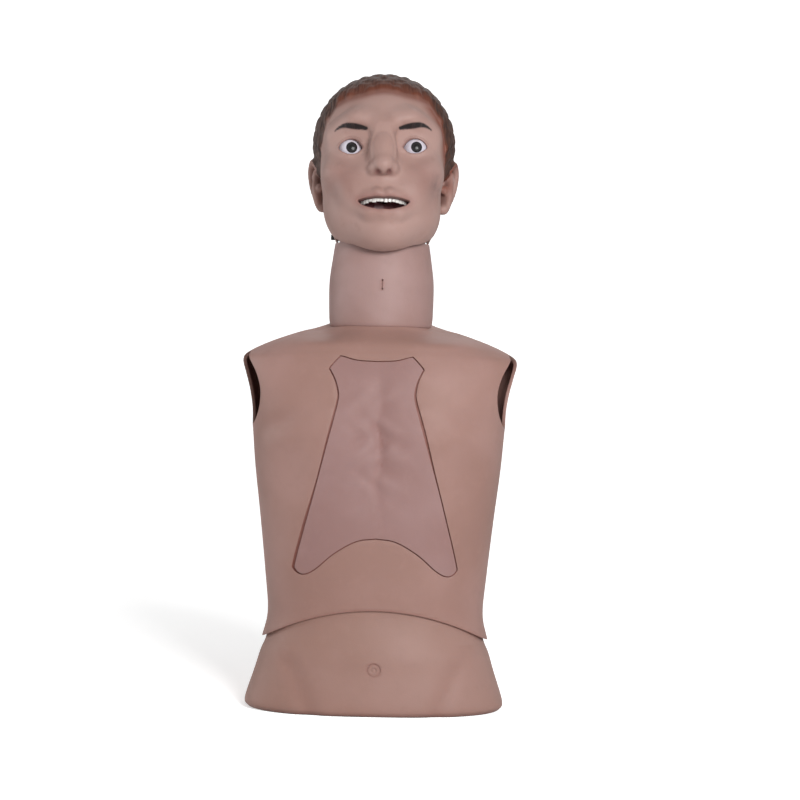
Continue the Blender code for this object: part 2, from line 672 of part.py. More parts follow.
def head_clay(cell):
    """The head in its own frame: x to the side, -y forward, z up, from midway between the ears."""
    clay = Clay((0, -0.122, -0.130), (0.100, 0.116, 0.146), cell)
    pivot = (0, PIVOT_BEHIND_EARS, -PIVOT_BELOW_EARS)

    # Skull, face and jaw.
    clay.lump((0, 0.004, 0.040), (0.0765, 0.0925, 0.0805), 0.004)
    clay.lump((0, -0.026, -0.012), (0.0655, 0.060, 0.084), 0.020)
    clay.lump((0, -0.020, -0.052), (0.0630, 0.062, 0.048), 0.016)
    clay.lump((0, 0.026, -0.030), (0.062, 0.056, 0.048), 0.016)
    clay.lump((0, -0.056, -0.078), (0.030, 0.027, 0.0235), 0.016)
    clay.lump(pivot, (0.0555, 0.0555, 0.0555), 0.006)

    # Brow, cheekbones and temples.
    clay.roll([(0.010, -0.0790, 0.040), (0.030, -0.0790, 0.0455), (0.054, -0.056, 0.040)],
              [0.009, 0.009, 0.007], 0.012)
    clay.lump((0.0480, -0.052, -0.006), (0.0200, 0.0240, 0.0185), 0.016)
    clay.lump((0.0300, -0.066, -0.030), (0.0200, 0.0180, 0.0220), 0.014)

    # Eye hollows and the lids over the eyeballs.
    clay.lump((0.0340, -0.0850, 0.0215), (0.0240, 0.0120, 0.0165), 0.018, carve=True)
    clay.lump((EYE_SIDE, -EYE_FORWARD, EYE_UP), (EYE_RADIUS + LID_THICKNESS,) * 3, 0.005)

    # Nose: bridge, tip, wings and nostrils.
    clay.roll([(0, -0.084, 0.032), (0, -0.0915, 0.014), (0, -0.0985, -0.006)], [0.0075, 0.0075, 0.0095], 0.008)
    clay.lump((0, -0.0985, -0.0110), (0.0105, 0.0105, 0.0095), 0.006)
    clay.lump((0.0112, -0.0890, -0.0125), (0.0058, 0.0090, 0.0072), 0.005)
    clay.lump((NOSTRIL_SIDE, -0.1000, -0.0205), (0.0028, 0.0056, 0.0040), 0.002, carve=True)

    # Lips round the open mouth.
    clay.lump((0, -0.0700, -0.0420), (0.0300, 0.0190, 0.0270), 0.012)
    reach = MOUTH_HALF_WIDTH
    upper = [(0, -MOUTH_FORWARD, MOUTH_UP + 0.0105), (0.0070, -MOUTH_FORWARD, MOUTH_UP + 0.0115),
             (0.60 * reach, -MOUTH_FORWARD + 0.0055, MOUTH_UP + 0.0095),
             (reach + 0.001, -MOUTH_FORWARD + 0.0170, MOUTH_UP + 0.0045)]
    lower = [(0, -MOUTH_FORWARD + 0.0025, MOUTH_UP - 0.0105), (0.55 * reach, -MOUTH_FORWARD + 0.0065, MOUTH_UP - 0.0080),
             (reach + 0.001, -MOUTH_FORWARD + 0.0170, MOUTH_UP + 0.0020)]
    clay.roll(upper, [0.0040, 0.0044, 0.0040, 0.0026], 0.004)
    clay.roll(lower, [0.0050, 0.0045, 0.0024], 0.005)

    # Ear: rim, lobe and the bowl inside it.
    ear = [(0.0715, -0.004, 0.005), (0.0785, -0.001, 0.019), (0.0830, 0.012, 0.0255), (0.0850, 0.025, 0.017),
           (0.0825, 0.028, 0.000), (0.0765, 0.020, -0.018), (0.0690, 0.004, -0.0315)]
    clay.lump((0.0735, 0.012, -0.006), (0.0075, 0.0170, 0.0300), 0.005, turn=(-0.20, 0.10, 0.35))
    clay.roll(ear, [0.0032, 0.0036, 0.0038, 0.0040, 0.0040, 0.0038, 0.0056], 0.004)
    clay.lump((0.0820, 0.009, -0.006), (0.0055, 0.0085, 0.0115), 0.003, carve=True)

    # Moulded hair: a cap, its edge round the brow and ears, and short locks.
    clay.lump(HAIR_MIDDLE, HAIR_RADII, 0.003)
    random = np.random.default_rng(7)
    for turn in np.arange(0, math.pi + 0.01, math.radians(13)):
        for rise in np.arange(math.radians(-22), math.radians(88), math.radians(13)):
            spot = np.array([math.sin(turn) * math.cos(rise), math.cos(turn) * math.cos(rise), math.sin(rise)])
            root = spot * HAIR_RADII + HAIR_MIDDLE
            if root[1] < -0.068 or (root[2] < 0.052 and root[1] < 0.02) or root[0] < -0.001:
                continue
            if root[2] < -0.018:
                continue
            size = 0.0062 + 0.0016 * random.random()
            clay.lump(root, (size, size, size * 0.9), 0.0035)

    # The rim round the ball collar.
    clay.lump((0, 0.030, -0.090), (0.030, 0.030, 0.014), 0.004, carve=True)
    return clay


def head_frame():
    """The empties that carry the head: one turns about the neck's axis, and the other nods in it."""
    turn = bpy.data.objects.new("head_turn_axis", None)
    nod = bpy.data.objects.new("head_nod_axis", None)
    for empty in (turn, nod):
        PARTS.objects.link(empty)
    turn.location = (0, 0, PIVOT_HEIGHT)
    turn.rotation_euler = (0, 0, HEAD_TURN)
    nod.parent = turn
    nod.rotation_euler = (-HEAD_TILT, 0, 0)
    return nod


def foot_stations():
    """Sections of the hips and belly, with a spigot on top that the chest shell slides over."""
    edge = WAIST_HEIGHT - EDGE_SIDE_DROP
    slip = SHELL_WALL + SLIP_GAP
    rows = smooth_path(body_stations(), 8)
    rows = rows[np.argsort(rows[:, 0])]

    def inside_chest(height):
        half_width, front, back, squareness = (np.interp(height, rows[:, 0], rows[:, k]) for k in (1, 2, 3, 4))
        return (height, half_width - slip, front - slip, back - slip, squareness)

    return [
        (0.0, HIP_HALF_WIDTH - FOOT_ROUND, HIP_FRONT - FOOT_ROUND, HIP_BACK - FOOT_ROUND, 2.7),
        (0.4 * HIP_HEIGHT, HIP_HALF_WIDTH - 0.3 * FOOT_ROUND, HIP_FRONT - 0.3 * FOOT_ROUND,
         HIP_BACK - 0.3 * FOOT_ROUND, 2.7),
        (1.6 * HIP_HEIGHT, HIP_HALF_WIDTH, HIP_FRONT, HIP_BACK, 2.7),
        (0.5 * (HIP_HEIGHT + edge), HIP_HALF_WIDTH - 0.0105, HIP_FRONT - 0.001, HIP_BACK - 0.002, 2.55),
        (0.8 * edge, WAIST_HALF_WIDTH + 0.0075, WAIST_FRONT + 0.002, WAIST_BACK + 0.0015, 2.4),
        (edge, WAIST_HALF_WIDTH + EDGE_FLARE - slip - 0.001, WAIST_FRONT + 0.0005, WAIST_BACK - 0.0005, 2.35),
        inside_chest(WAIST_HEIGHT),
        inside_chest(WAIST_HEIGHT + 0.5 * SPIGOT_RISE),
        inside_chest(WAIST_HEIGHT + SPIGOT_RISE),
    ]


def groin_relief(x, z):
    """Depth of the fold between belly and thigh, which runs down and in from the hip."""
    fold = np.abs(x) - (HIP_HALF_WIDTH - 0.088 + 1.05 * (z - HIP_HEIGHT))
    fade = np.clip((0.9 * (WAIST_HEIGHT - EDGE_SIDE_DROP) - z) / 0.02, 0, 1)
    crease = 0.0030 * np.exp(-(fold / 0.010) ** 2)
    return (crease + 0.003 * (fold > 0) * (1 - np.exp(-(fold / 0.02) ** 2))) * fade


def foot_rings(per_gap=2, count=RING_POINTS):
    rings = np.array([oval(*row, count=count) for row in smooth_path(foot_stations(), per_gap)])
    x, y, z = rings[..., 0], rings[..., 1], rings[..., 2]
    rings[..., 1] += groin_relief(x, z) * np.clip(-y / (0.6 * HIP_FRONT), 0, 1)
    return rings


def foot_outline(height, grow):
    """The seat of the base plate at a height, grown or shrunk by a distance."""
    shrink = FOOT_ROUND + BODY_WALL - grow
    return oval(height, HIP_HALF_WIDTH - shrink, HIP_FRONT - shrink, HIP_BACK - shrink, 2.7)


def screw_places():
    for x in (-SCREW_SPACING_X / 2, SCREW_SPACING_X / 2):
        for y in (-SCREW_SPACING_Y / 2, SCREW_SPACING_Y / 2):
            yield x, y


def build_base():
    """The flat plate that the body stands on, screwed up into the body's flange."""
    plate = piece("base_plate", loft("base_plate", [foot_outline(0, -SEAT_GAP),
                                                    foot_outline(BASE_THICKNESS, -SEAT_GAP)]), DARK_PLASTIC)
    top = BASE_THICKNESS + SEAT_GAP + BASE_FLANGE
    for i, (x, y) in enumerate(screw_places(), 1):
        cut(plate,
            piece("base_screw_hole", cylinder("hole", (x, y, -0.01), (x, y, 0.02), SCREW_RADIUS + SEAT_GAP, 12)),
            piece("base_screw_sink", cylinder("sink", (x, y, -0.01), (x, y, SCREW_SINK), SCREW_HEAD_RADIUS
                                              + SEAT_GAP, 16)))
        profile = [(0, 0.0005), (0, top), (SCREW_RADIUS, top), (SCREW_RADIUS, SCREW_SINK - SEAT_GAP),
                   (SCREW_HEAD_RADIUS, SCREW_SINK - SEAT_GAP), (SCREW_HEAD_RADIUS, 0.0009),
                   (SCREW_HEAD_RADIUS - 0.0004, 0.0005)]
        piece(f"base_screw_{i}", turned(f"base_screw_{i}", profile, (x, y, 0), 8), STEEL)


def build_lower_body():
    """Hips and belly, moulded in one piece, open at the top, with a flange for the base plate."""
    body = piece("lower_body_shell", loft("lower_body_shell", foot_rings()), SKIN)
    floor = BASE_THICKNESS + SEAT_GAP
    flange_top = floor + BASE_FLANGE
    cavity = sunk(foot_rings(1, 28), BODY_WALL)
    cavity = cavity[cavity[:, 0, 2] > flange_top + 0.004]
    first, last = cavity[0].copy(), cavity[-1].copy()
    first[:, 2] = flange_top
    last[:, 2] = WAIST_HEIGHT + SPIGOT_RISE + 0.01
    cut(body,
        piece("belly_hollow", loft("belly_hollow", [first, *cavity[1:], last])),
        piece("base_recess", loft("base_recess", [foot_outline(-0.01, 0), foot_outline(floor, 0)])),
        piece("base_hatch", loft("base_hatch", [foot_outline(-0.02, -FLANGE_REACH),
                                                foot_outline(flange_top + 0.01, -FLANGE_REACH)])),
        piece("column_notch", cylinder("column_notch", (0, COLUMN_BACK, -0.01), (0, COLUMN_BACK, flange_top + 0.005),
                                       COLUMN_FLANGE_RADIUS + COLUMN_CLEARANCE, 24)))
    navel_y = -np.interp(NAVEL_HEIGHT, [0.046, 0.082], [HIP_FRONT - 0.001, WAIST_FRONT + 0.001])
    angles = np.linspace(0, 2 * math.pi, 20, endpoint=False)
    points = [(NAVEL_RADIUS * math.cos(a), navel_y, NAVEL_HEIGHT + NAVEL_RADIUS * math.sin(a)) for a in angles]
    cut(body, piece("navel_groove", ring_rod("navel_groove", points, NAVEL_GROOVE)))
    for x, y in screw_places():
        boss = cylinder("boss", (x, y, floor), (x, y, flange_top), 0.0075, 16)
        rib_end = (HIP_BACK if y > 0 else HIP_FRONT) - FOOT_ROUND - BODY_WALL - 0.5 * FLANGE_REACH
        arm = block("arm", (x - 0.0072, min(y, math.copysign(rib_end, y)), floor + 0.00005),
                    (x + 0.0072, max(y, math.copysign(rib_end, y)), flange_top - 0.00005))
        join(body, piece("screw_boss", boss), piece("screw_arm", arm))
        cut(body, piece("screw_bore", cylinder("bore", (x, y, 0), (x, y, 0.03), SCREW_RADIUS + SEAT_GAP, 12)))
    return body


def ring_rod(name, points, radius):
    """A round rod bent into a closed ring."""
    curve = bpy.data.curves.new(name, "CURVE")
    curve.dimensions = "3D"
    curve.bevel_depth = radius
    curve.bevel_resolution = 1
    line = curve.splines.new("POLY")
    line.points.add(len(points) - 1)
    for point, place in zip(line.points, points):
        point.co = (*place, 1)
    line.use_cyclic_u = True
    shape = bpy.data.objects.new(name, curve)
    CUTTERS.objects.link(shape)
    mesh = evaluated(shape)
    bpy.data.objects.remove(shape)
    return mesh


def front_prism(name, outline, depth):
    """An outline drawn from well in front of the chest back to a depth."""
    return piece(name, prism(name, outline, -CHEST_FRONT - 0.03, depth))


def build_chest_shell():
    """The vest: one moulded wall with arm holes, a neck hole, an arched hem and the plate's seat."""
    shell = piece("chest_shell", loft("chest_shell", body_rings()), SKIN)
    hollow = sunk(body_rings(1, 32), SHELL_WALL)
    hollow[-1, :, 2] = COLLAR_HEIGHT + 0.006 - SHELL_WALL
    cut(shell, piece("chest_hollow", loft("chest_hollow", hollow)))

    low, high = PLATE_TOP - 0.260, PLATE_TOP + 0.020
    seat = piece("plate_seat", front_slab("plate_seat", 0.104, low, high, SHELL_WALL - 0.0012,
                                          PLATE_THICKNESS + LEDGE_THICKNESS))
    keep(seat, front_prism("seat_edge", plate_outline(LEDGE_OVERLAP), 0))
    recess = piece("plate_recess", front_slab("plate_recess", 0.100, low, high, -0.02, PLATE_THICKNESS))
    keep(recess, front_prism("recess_edge", plate_outline(PLATE_CLEARANCE), 0))
    join(shell, seat)
    cut(shell, recess, front_prism("plate_window", window_outline(), 0.0))
    for x, z in plate_pegs():
        y = float(front_depth(np.array(x), np.array(z)))
        cut(shell, piece("socket_seat", cylinder("socket_seat", (x, y - 0.01, z), (x, y + 0.02, z),
                                                 socket_radius() + SEAT_GAP, 16)))

    for side in (-1, 1):
        cut(shell, piece("arm_hole", arm_hole(side)))

    neck = cylinder("neck_hole", (0, 0, COLLAR_HEIGHT - 0.05), (0, 0, COLLAR_HEIGHT + 0.05), NECK_HOLE_RADIUS, 32)
    cut(shell, piece("neck_hole", neck))

    rise = EDGE_SIDE_DROP + EDGE_FRONT_RISE
    half = WAIST_HALF_WIDTH + EDGE_FLARE
    radius = (half ** 2 + rise ** 2) / (2 * rise)
    top = WAIST_HEIGHT + EDGE_FRONT_RISE
    hem = cylinder("hem", (0, -0.3, top - radius), (0, 0.3, top - radius), radius, 96)
    cut(shell, piece("hem", hem))
    return shell


def arm_hole(side):
    """The cutter of an arm hole: an oval drawn sideways, and turned a little to the front."""
    middle = Vector((side * SHOULDER_HALF_WIDTH, -ARM_HOLE_FORWARD, (SHOULDER_HEIGHT + ARMPIT_HEIGHT) / 2))
    place = Matrix.LocRotScale(middle, Euler((0, math.pi / 2, 0)),
                               Vector((ARM_HOLE_RISE, ARM_HOLE_DEPTH, 1)))

    def build(work):
        bmesh.ops.create_cone(work, cap_ends=True, segments=32, radius1=1, radius2=1, depth=0.13, matrix=place)

    return mesh_from("arm_hole", build)


def socket_radius():
    return PEG_RADIUS + PEG_CLEARANCE + SOCKET_WALL


def build_chest_plate():
    """The lift-off plate: a curved panel with four pegs moulded on its back."""
    low, high = PLATE_TOP - 0.260, PLATE_TOP + 0.020
    plate = piece("chest_plate", front_slab("chest_plate", 0.100, low, high, 0.0, PLATE_THICKNESS - SEAT_GAP,
                                            plate_relief), PLATE_SKIN)
    keep(plate, front_prism("plate_edge", plate_outline(), 0))
    socket_face = piece("socket_face", front_slab("socket_face", 0.100, low, high, -0.02, PLATE_THICKNESS + SEAT_GAP))
    for i, (x, z) in enumerate(plate_pegs(), 1):
        y = float(front_depth(np.array(x), np.array(z)))
        back = y + PLATE_THICKNESS
        peg = cylinder("peg", (x, y + 0.5 * PLATE_THICKNESS, z), (x, back + PEG_LENGTH, z), PEG_RADIUS, 12)
        join(plate, piece("peg", peg))
        mouth = back - 0.008
        end = back + LEDGE_THICKNESS + 0.0030
        profile = [(socket_radius(), end), (socket_radius(), mouth),
                   (PEG_RADIUS + PEG_CLEARANCE, mouth), (PEG_RADIUS + PEG_CLEARANCE, end)]
        socket = turned("plate_socket", [(r, -h) for r, h in profile[::-1]], sides=12)
        socket.transform(Matrix.Translation((x, 0, z)) @ Matrix.Rotation(math.pi / 2, 4, "X"))
        cut(piece(f"plate_socket_{i}", socket, RUBBER), socket_face)
    return plate


def neck_stations():
    top = PIVOT_HEIGHT - NECK_TOP_DROP
    middle = (COLLAR_HEIGHT + top) / 2
    return [
        (COLLAR_HEIGHT - 0.030, NECK_MIDDLE_RADIUS - 0.0015, NECK_MIDDLE_RADIUS - 0.004, NECK_MIDDLE_RADIUS, 2.0),
        (COLLAR_HEIGHT + 0.010, NECK_MIDDLE_RADIUS - 0.0005, NECK_MIDDLE_RADIUS - 0.003, NECK_MIDDLE_RADIUS, 2.0),
        (middle, NECK_MIDDLE_RADIUS, NECK_MIDDLE_RADIUS - 0.0015, NECK_MIDDLE_RADIUS - 0.001, 2.0),
        (0.35 * middle + 0.65 * top, 0.4 * NECK_MIDDLE_RADIUS + 0.6 * NECK_TOP_RADIUS,
         0.4 * NECK_MIDDLE_RADIUS + 0.6 * NECK_TOP_RADIUS, 0.4 * NECK_MIDDLE_RADIUS + 0.6 * NECK_TOP_RADIUS, 2.0),
        (top, NECK_TOP_RADIUS, NECK_TOP_RADIUS, NECK_TOP_RADIUS, 2.0),
    ]


def neck_rings(per_gap=2, count=RING_POINTS):
    return np.array([oval(*row, count=count) for row in smooth_path(neck_stations(), per_gap)])


def tall(rings, below, above):
    """A stack of rings with its first and last ring moved down and up."""
    rings = np.array(rings)
    rings[0, :, 2] -= below
    rings[-1, :, 2] += above
    return rings


def build_neck():
    """The soft neck skin with its stoma slit, over a stiff core that stands on the shoulder plate."""
    skin = piece("neck_skin", loft("neck_skin", neck_rings()), SKIN)
    inner = tall(sunk(neck_rings(1), NECK_SKIN), 0.02, 0.02)
    collar = sunk(body_rings(2), -SEAT_GAP)
    cut(skin,
        piece("neck_skin_hollow", loft("neck_skin_hollow", inner)),
        piece("collar_surface", loft("collar_surface", collar)))
    front = -NECK_MIDDLE_RADIUS - 0.02
    half = SLIT_LENGTH / 2
    slit = block("slit", (-SLIT_WIDTH / 2, front, SLIT_HEIGHT - half), (SLIT_WIDTH / 2, -0.03, SLIT_HEIGHT + half))
    cut(skin, piece("slit", slit))
    for z in (SLIT_HEIGHT - half, SLIT_HEIGHT + half):
        cut(skin, piece("slit_end", cylinder("slit_end", (0, front, z), (0, -0.03, z), SLIT_EYE_RADIUS, 12)))

    foot = SHOULDER_PLATE_TOP + SEAT_GAP
    top = PIVOT_HEIGHT - NECK_TOP_DROP
    waist = NECK_HOLE_RADIUS - NECK_HOLE_CLEARANCE
    deep = NECK_SKIN + SEAT_GAP
    outer = sunk(neck_rings(1), deep)
    outer = outer[outer[:, 0, 2] > COLLAR_HEIGHT + 0.012]
    rings = [oval(foot, waist, waist, waist, 2.0), oval(COLLAR_HEIGHT + 0.004, waist, waist, waist, 2.0)]
    core = piece("neck_core", loft("neck_core", [*rings, *outer]), DARK_PLASTIC)
    shelf = LARYNX_TOP - LARYNX_HEIGHT - SEAT_GAP
    bore = waist - CORE_WALL
    cut(core,
        piece("core_lower_bore", cylinder("core_lower_bore", (0, 0, foot - 0.01),
                                          (0, 0, shelf - NECK_SHELF_THICKNESS), bore, 32)),
        piece("core_upper_bore", cylinder("core_upper_bore", (0, 0, shelf), (0, 0, top + 0.02), bore, 32)),
        piece("core_trachea_hole", cylinder("hole", (0, -TRACHEA_FORWARD, shelf - 0.02),
                                            (0, -TRACHEA_FORWARD, shelf + 0.02), TRACHEA_RADIUS + SEAT_GAP, 24)),
        piece("core_gullet_hole", cylinder("hole", (0, GULLET_BACK, shelf - 0.02),
                                           (0, GULLET_BACK, shelf + 0.02), GULLET_RADIUS + SEAT_GAP, 24)),
        piece("core_stoma_hole", cylinder("hole", (0, front, SLIT_HEIGHT), (0, -0.03, SLIT_HEIGHT),
                                          STOMA_RADIUS + SEAT_GAP, 20)))

    stoma = piece("stoma_tube", cylinder("stoma_tube", (0, front, SLIT_HEIGHT), (0, -TRACHEA_FORWARD, SLIT_HEIGHT),
                                         STOMA_RADIUS, 20), RUBBER)
    keep(stoma, piece("stoma_limit", loft("stoma_limit", tall(sunk(neck_rings(1), deep), 0.02, 0.02))))
    cut(stoma,
        piece("stoma_bore", cylinder("stoma_bore", (0, front, SLIT_HEIGHT), (0, 0, SLIT_HEIGHT), STOMA_BORE, 20)),
        piece("stoma_end", cylinder("stoma_end", (0, -TRACHEA_FORWARD, SLIT_HEIGHT - 0.02),
                                    (0, -TRACHEA_FORWARD, SLIT_HEIGHT + 0.02), TRACHEA_RADIUS + SEAT_GAP, 24)))
    return skin, core


def build_collar():
    """The ball-shaped collar that turns in the neck and carries the head on two pins."""
    foot = -NECK_TOP_DROP + SEAT_GAP
    spigot = NECK_HOLE_RADIUS - NECK_HOLE_CLEARANCE - CORE_WALL - SEAT_GAP
    low, high = math.asin(foot / BALL_RADIUS), math.asin(BALL_RISE / BALL_RADIUS)
    outer = [(BALL_RADIUS * math.cos(a), BALL_RADIUS * math.sin(a)) for a in np.linspace(high, low, 5)]
    inner = BALL_RADIUS - BALL_WALL - 0.002
    profile = [*outer, (spigot, foot), (spigot, foot - BALL_SKIRT), (spigot - 0.003, foot - BALL_SKIRT),
               (spigot - 0.003, foot), (inner, 0.0), (BALL_RADIUS * math.cos(high) - BALL_WALL, BALL_RISE)]
    ring = piece("swivel_ring", turned("swivel_ring", profile, (0, 0, PIVOT_HEIGHT), 28), DARK_PLASTIC)
    turn = Matrix.Rotation(HEAD_TURN, 4, "Z")
    for side, word in ((-1, "right"), (1, "left")):
        place = Matrix.Translation((0, 0, PIVOT_HEIGHT)) @ turn @ Matrix.Rotation(side * math.pi / 2, 4, "Y")
        hole = cylinder("pin_hole", (0, 0, BALL_RADIUS - 0.02), (0, 0, BALL_RADIUS + 0.02), PIN_RADIUS + 0.0001, 16)
        hole.transform(place)
        cut(ring, piece("pin_hole", hole))
        tail = BALL_RADIUS - BALL_WALL - 0.001
        seat = LUG_OUTER + SEAT_GAP
        head = seat + (KNOB_LENGTH if side < 0 else FLAT_HEAD_LENGTH)
        profile = [(0, tail), (0, head), (PIN_HEAD_RADIUS - 0.0006, head), (PIN_HEAD_RADIUS, head - 0.0006),
                   (PIN_HEAD_RADIUS, seat), (PIN_RADIUS, seat), (PIN_RADIUS, tail)]
        pin = turned("pivot_pin", profile, sides=12)
        pin.transform(place)
        piece(f"pivot_pin_{word}", pin, BLACK)
    return ring


def mouth_outline(grow=0.0):
    """The open mouth seen from the front: corners drawn up a little, a flatter upper lip."""
    half = MOUTH_HALF_WIDTH + grow
    rise = MOUTH_HALF_HEIGHT + grow
    right = [(0, MOUTH_UP + 0.95 * rise), (0.30 * half, MOUTH_UP + 1.02 * rise), (0.70 * half, MOUTH_UP + 0.92 * rise),
             (half, MOUTH_UP + 0.62 * rise), (0.72 * half, MOUTH_UP - 0.45 * rise), (0.35 * half, MOUTH_UP - 0.96 * rise),
             (0, MOUTH_UP - 1.05 * rise)]
    return mirrored(smooth_path(right, 2))


def eye_outline(side):
    """The almond between the lids, drawn about the eye's middle."""
    across, up = EYE_OPENING_WIDTH / 2, EYE_OPENING_HEIGHT / 2
    points = [(-1.0, -0.25), (-0.55, 0.68), (0.0, 1.0), (0.55, 0.80), (1.0, 0.05), (0.55, -0.72), (0.0, -1.0),
              (-0.55, -0.85)]
    closed = np.array([*points, points[0]])
    path = smooth_path(closed, 2)[:-1]
    return [(side * (EYE_SIDE + across * x), EYE_UP + up * z) for x, z in path]


def build_head(nod):
    """The hollow vinyl head with its eyes, teeth, tongue and mouth lining, carried by the empties."""
    def ride(made):
        made.parent = nod
        made.location = (0, -PIVOT_BEHIND_EARS, PIVOT_BELOW_EARS)
        return made

    head = ride(piece("head_shell", head_clay(HEAD_CELL).skin("head_shell"), SKIN))
    fewer = head.modifiers.new("Fewer", "DECIMATE")
    fewer.ratio = HEAD_KEEP

    pivot = Vector((0, PIVOT_BEHIND_EARS, -PIVOT_BELOW_EARS))
    upright = Euler((HEAD_TILT, 0, 0)).to_matrix().to_4x4()
    below = cylinder("rim_cut", (0, 0, -0.10), (0, 0, RIM_RISE), BALL_RADIUS + 0.012, 32)
    below.transform(Matrix.Translation(pivot) @ upright)
    lugs = []
    for side in (-1, 1):
        lug = cylinder("lug", (side * (BALL_RADIUS - 0.004), 0, 0), (side * LUG_OUTER, 0, 0), LUG_RADIUS, 24)
        lug.transform(Matrix.Translation(pivot))
        web = block("lug_web", (min(side * (BALL_RADIUS - 0.004), side * (LUG_OUTER - 0.0001)), -0.9 * LUG_RADIUS, 0),
                    (max(side * (BALL_RADIUS - 0.004), side * (LUG_OUTER - 0.0001)), 0.9 * LUG_RADIUS, RIM_RISE + 0.006))
        web.transform(Matrix.Translation(pivot) @ upright)
        lugs += [ride(piece("lug", lug)), ride(piece("lug_web", web))]
    neck_room = loft("neck_room", tall(sunk(neck_rings(1), -NOD_CLEARANCE), 0.02, 0))
    neck_room.transform(Matrix.Translation(pivot) @ Matrix.Rotation(HEAD_TILT - NOD_FORWARD, 4, "X")
                        @ Matrix.Translation((0, 0, 0.002 - PIVOT_HEIGHT)))
    cut(head, ride(piece("rim_cut", below)), ride(piece("neck_room", neck_room)))
    join(head, *lugs)
    cut(head, ride(piece("ball_seat", ball("ball_seat", pivot, (BALL_RADIUS + BALL_CLEARANCE,) * 3, across=28,
                                           rings=14))))
    hollow = ball("skull_hollow", SKULL_HOLLOW_MIDDLE, SKULL_HOLLOW_RADII)
    cut(head, ride(piece("skull_hollow", hollow)))
    pins = cylinder("pin_bore", (-0.08, *pivot[1:]), (0.08, *pivot[1:]), PIN_RADIUS + PIN_CLEARANCE, 16)
    cut(head, ride(piece("pin_bore", pins)))

    for side, word in ((-1, "right"), (1, "left")):
        centre = (side * EYE_SIDE, -EYE_FORWARD, EYE_UP)
        socket = ball("eye_socket", centre, (EYE_RADIUS + EYE_GAP,) * 3)
        lids = prism("eye_opening", eye_outline(side), -0.12, -EYE_FORWARD)
        cut(head, ride(piece("eye_socket", socket)), ride(piece("eye_opening", lids)))
        ride(piece(f"eye_{word}", ball("eye", centre, (EYE_RADIUS,) * 3), EYE_WHITE))
        nostril = cylinder("nostril", (side * NOSTRIL_SIDE, -0.1055, -0.0250),
                           (side * (NOSTRIL_SIDE + 0.001), -0.0800, -0.0080), 0.0028, 12, 0.0019)
        cut(head, ride(piece("nostril", nostril)))

    middle = (0, -CAVITY_FORWARD, MOUTH_UP + 0.004)
    cavity = Vector(CAVITY_RADII)
    wall = Vector((LINING_WALL,) * 3)
    gap = Vector((SEAT_GAP,) * 3)
    route = smooth_path([(0, -0.062, -0.046), (0, -0.046, -0.030), (0, -0.028, -0.015), (0, -0.008, -0.014),
                         (0, 0.008, -0.030), tuple(pivot - Vector((0, 0, 0.001)))], 1)
    longer = [*route, tuple(pivot - Vector((0, 0, 0.008)))]
    mouth_front, mouth_back = -0.13, -CAVITY_FORWARD
    cut(head,
        ride(piece("mouth_opening", prism("mouth_opening", mouth_outline(), mouth_front, mouth_back))),
        ride(piece("mouth_cavity", ball("mouth_cavity", middle, cavity))),
        ride(piece("throat_way", tube("throat_way", route, THROAT_RADIUS + SEAT_GAP))))

    lining = ride(piece("mouth_lining", ball("mouth_lining", middle, cavity - gap), MOUTH_RED))
    join(lining, ride(piece("throat_tube", tube("throat_tube", route, THROAT_RADIUS))))
    cut(lining,
        ride(piece("lining_hollow", ball("lining_hollow", middle, cavity - wall))),
        ride(piece("lining_mouth", prism("lining_mouth", mouth_outline(SEAT_GAP), mouth_front, mouth_back))),
        ride(piece("throat_bore", tube("throat_bore", longer, THROAT_RADIUS - LINING_WALL))))

    right = [(0.0215, -0.0655), (0.0175, -0.0710), (0.0100, -0.0755), (0.0, -0.0775)]
    arch = right[:-1] + [(-x, y) for x, y in right[::-1]]
    teeth = ride(piece("upper_teeth", band("upper_teeth", smooth_path(arch, 2), MOUTH_UP + TOOTH_EDGE, -0.030,
                                           TOOTH_THICKNESS), TOOTH))
    tongue = ride(piece("tongue", ball("tongue", (0, -0.064, MOUTH_UP - 0.0115), (0.018, 0.0145, 0.0085), across=16,
                                       rings=8), TONGUE))
    for held in (teeth, tongue):
        keep(held, ride(piece("lining_inside", ball("lining_inside", middle, cavity - wall - gap))))
    return head


def band(name, path, low, high, thickness):
    """An upright band of even thickness along a path, closed at both ends."""
    path = np.array(path)[:, :2]
    along = np.gradient(path, axis=0)
    side = np.column_stack([-along[:, 1], along[:, 0]])
    side /= np.linalg.norm(side, axis=1, keepdims=True)
    rings = [[(*(p + s * thickness * a), z) for a, z in ((0.5, low), (0.5, high), (-0.5, high), (-0.5, low))]
             for p, s in zip(path, side)]
    return loft(name, rings)


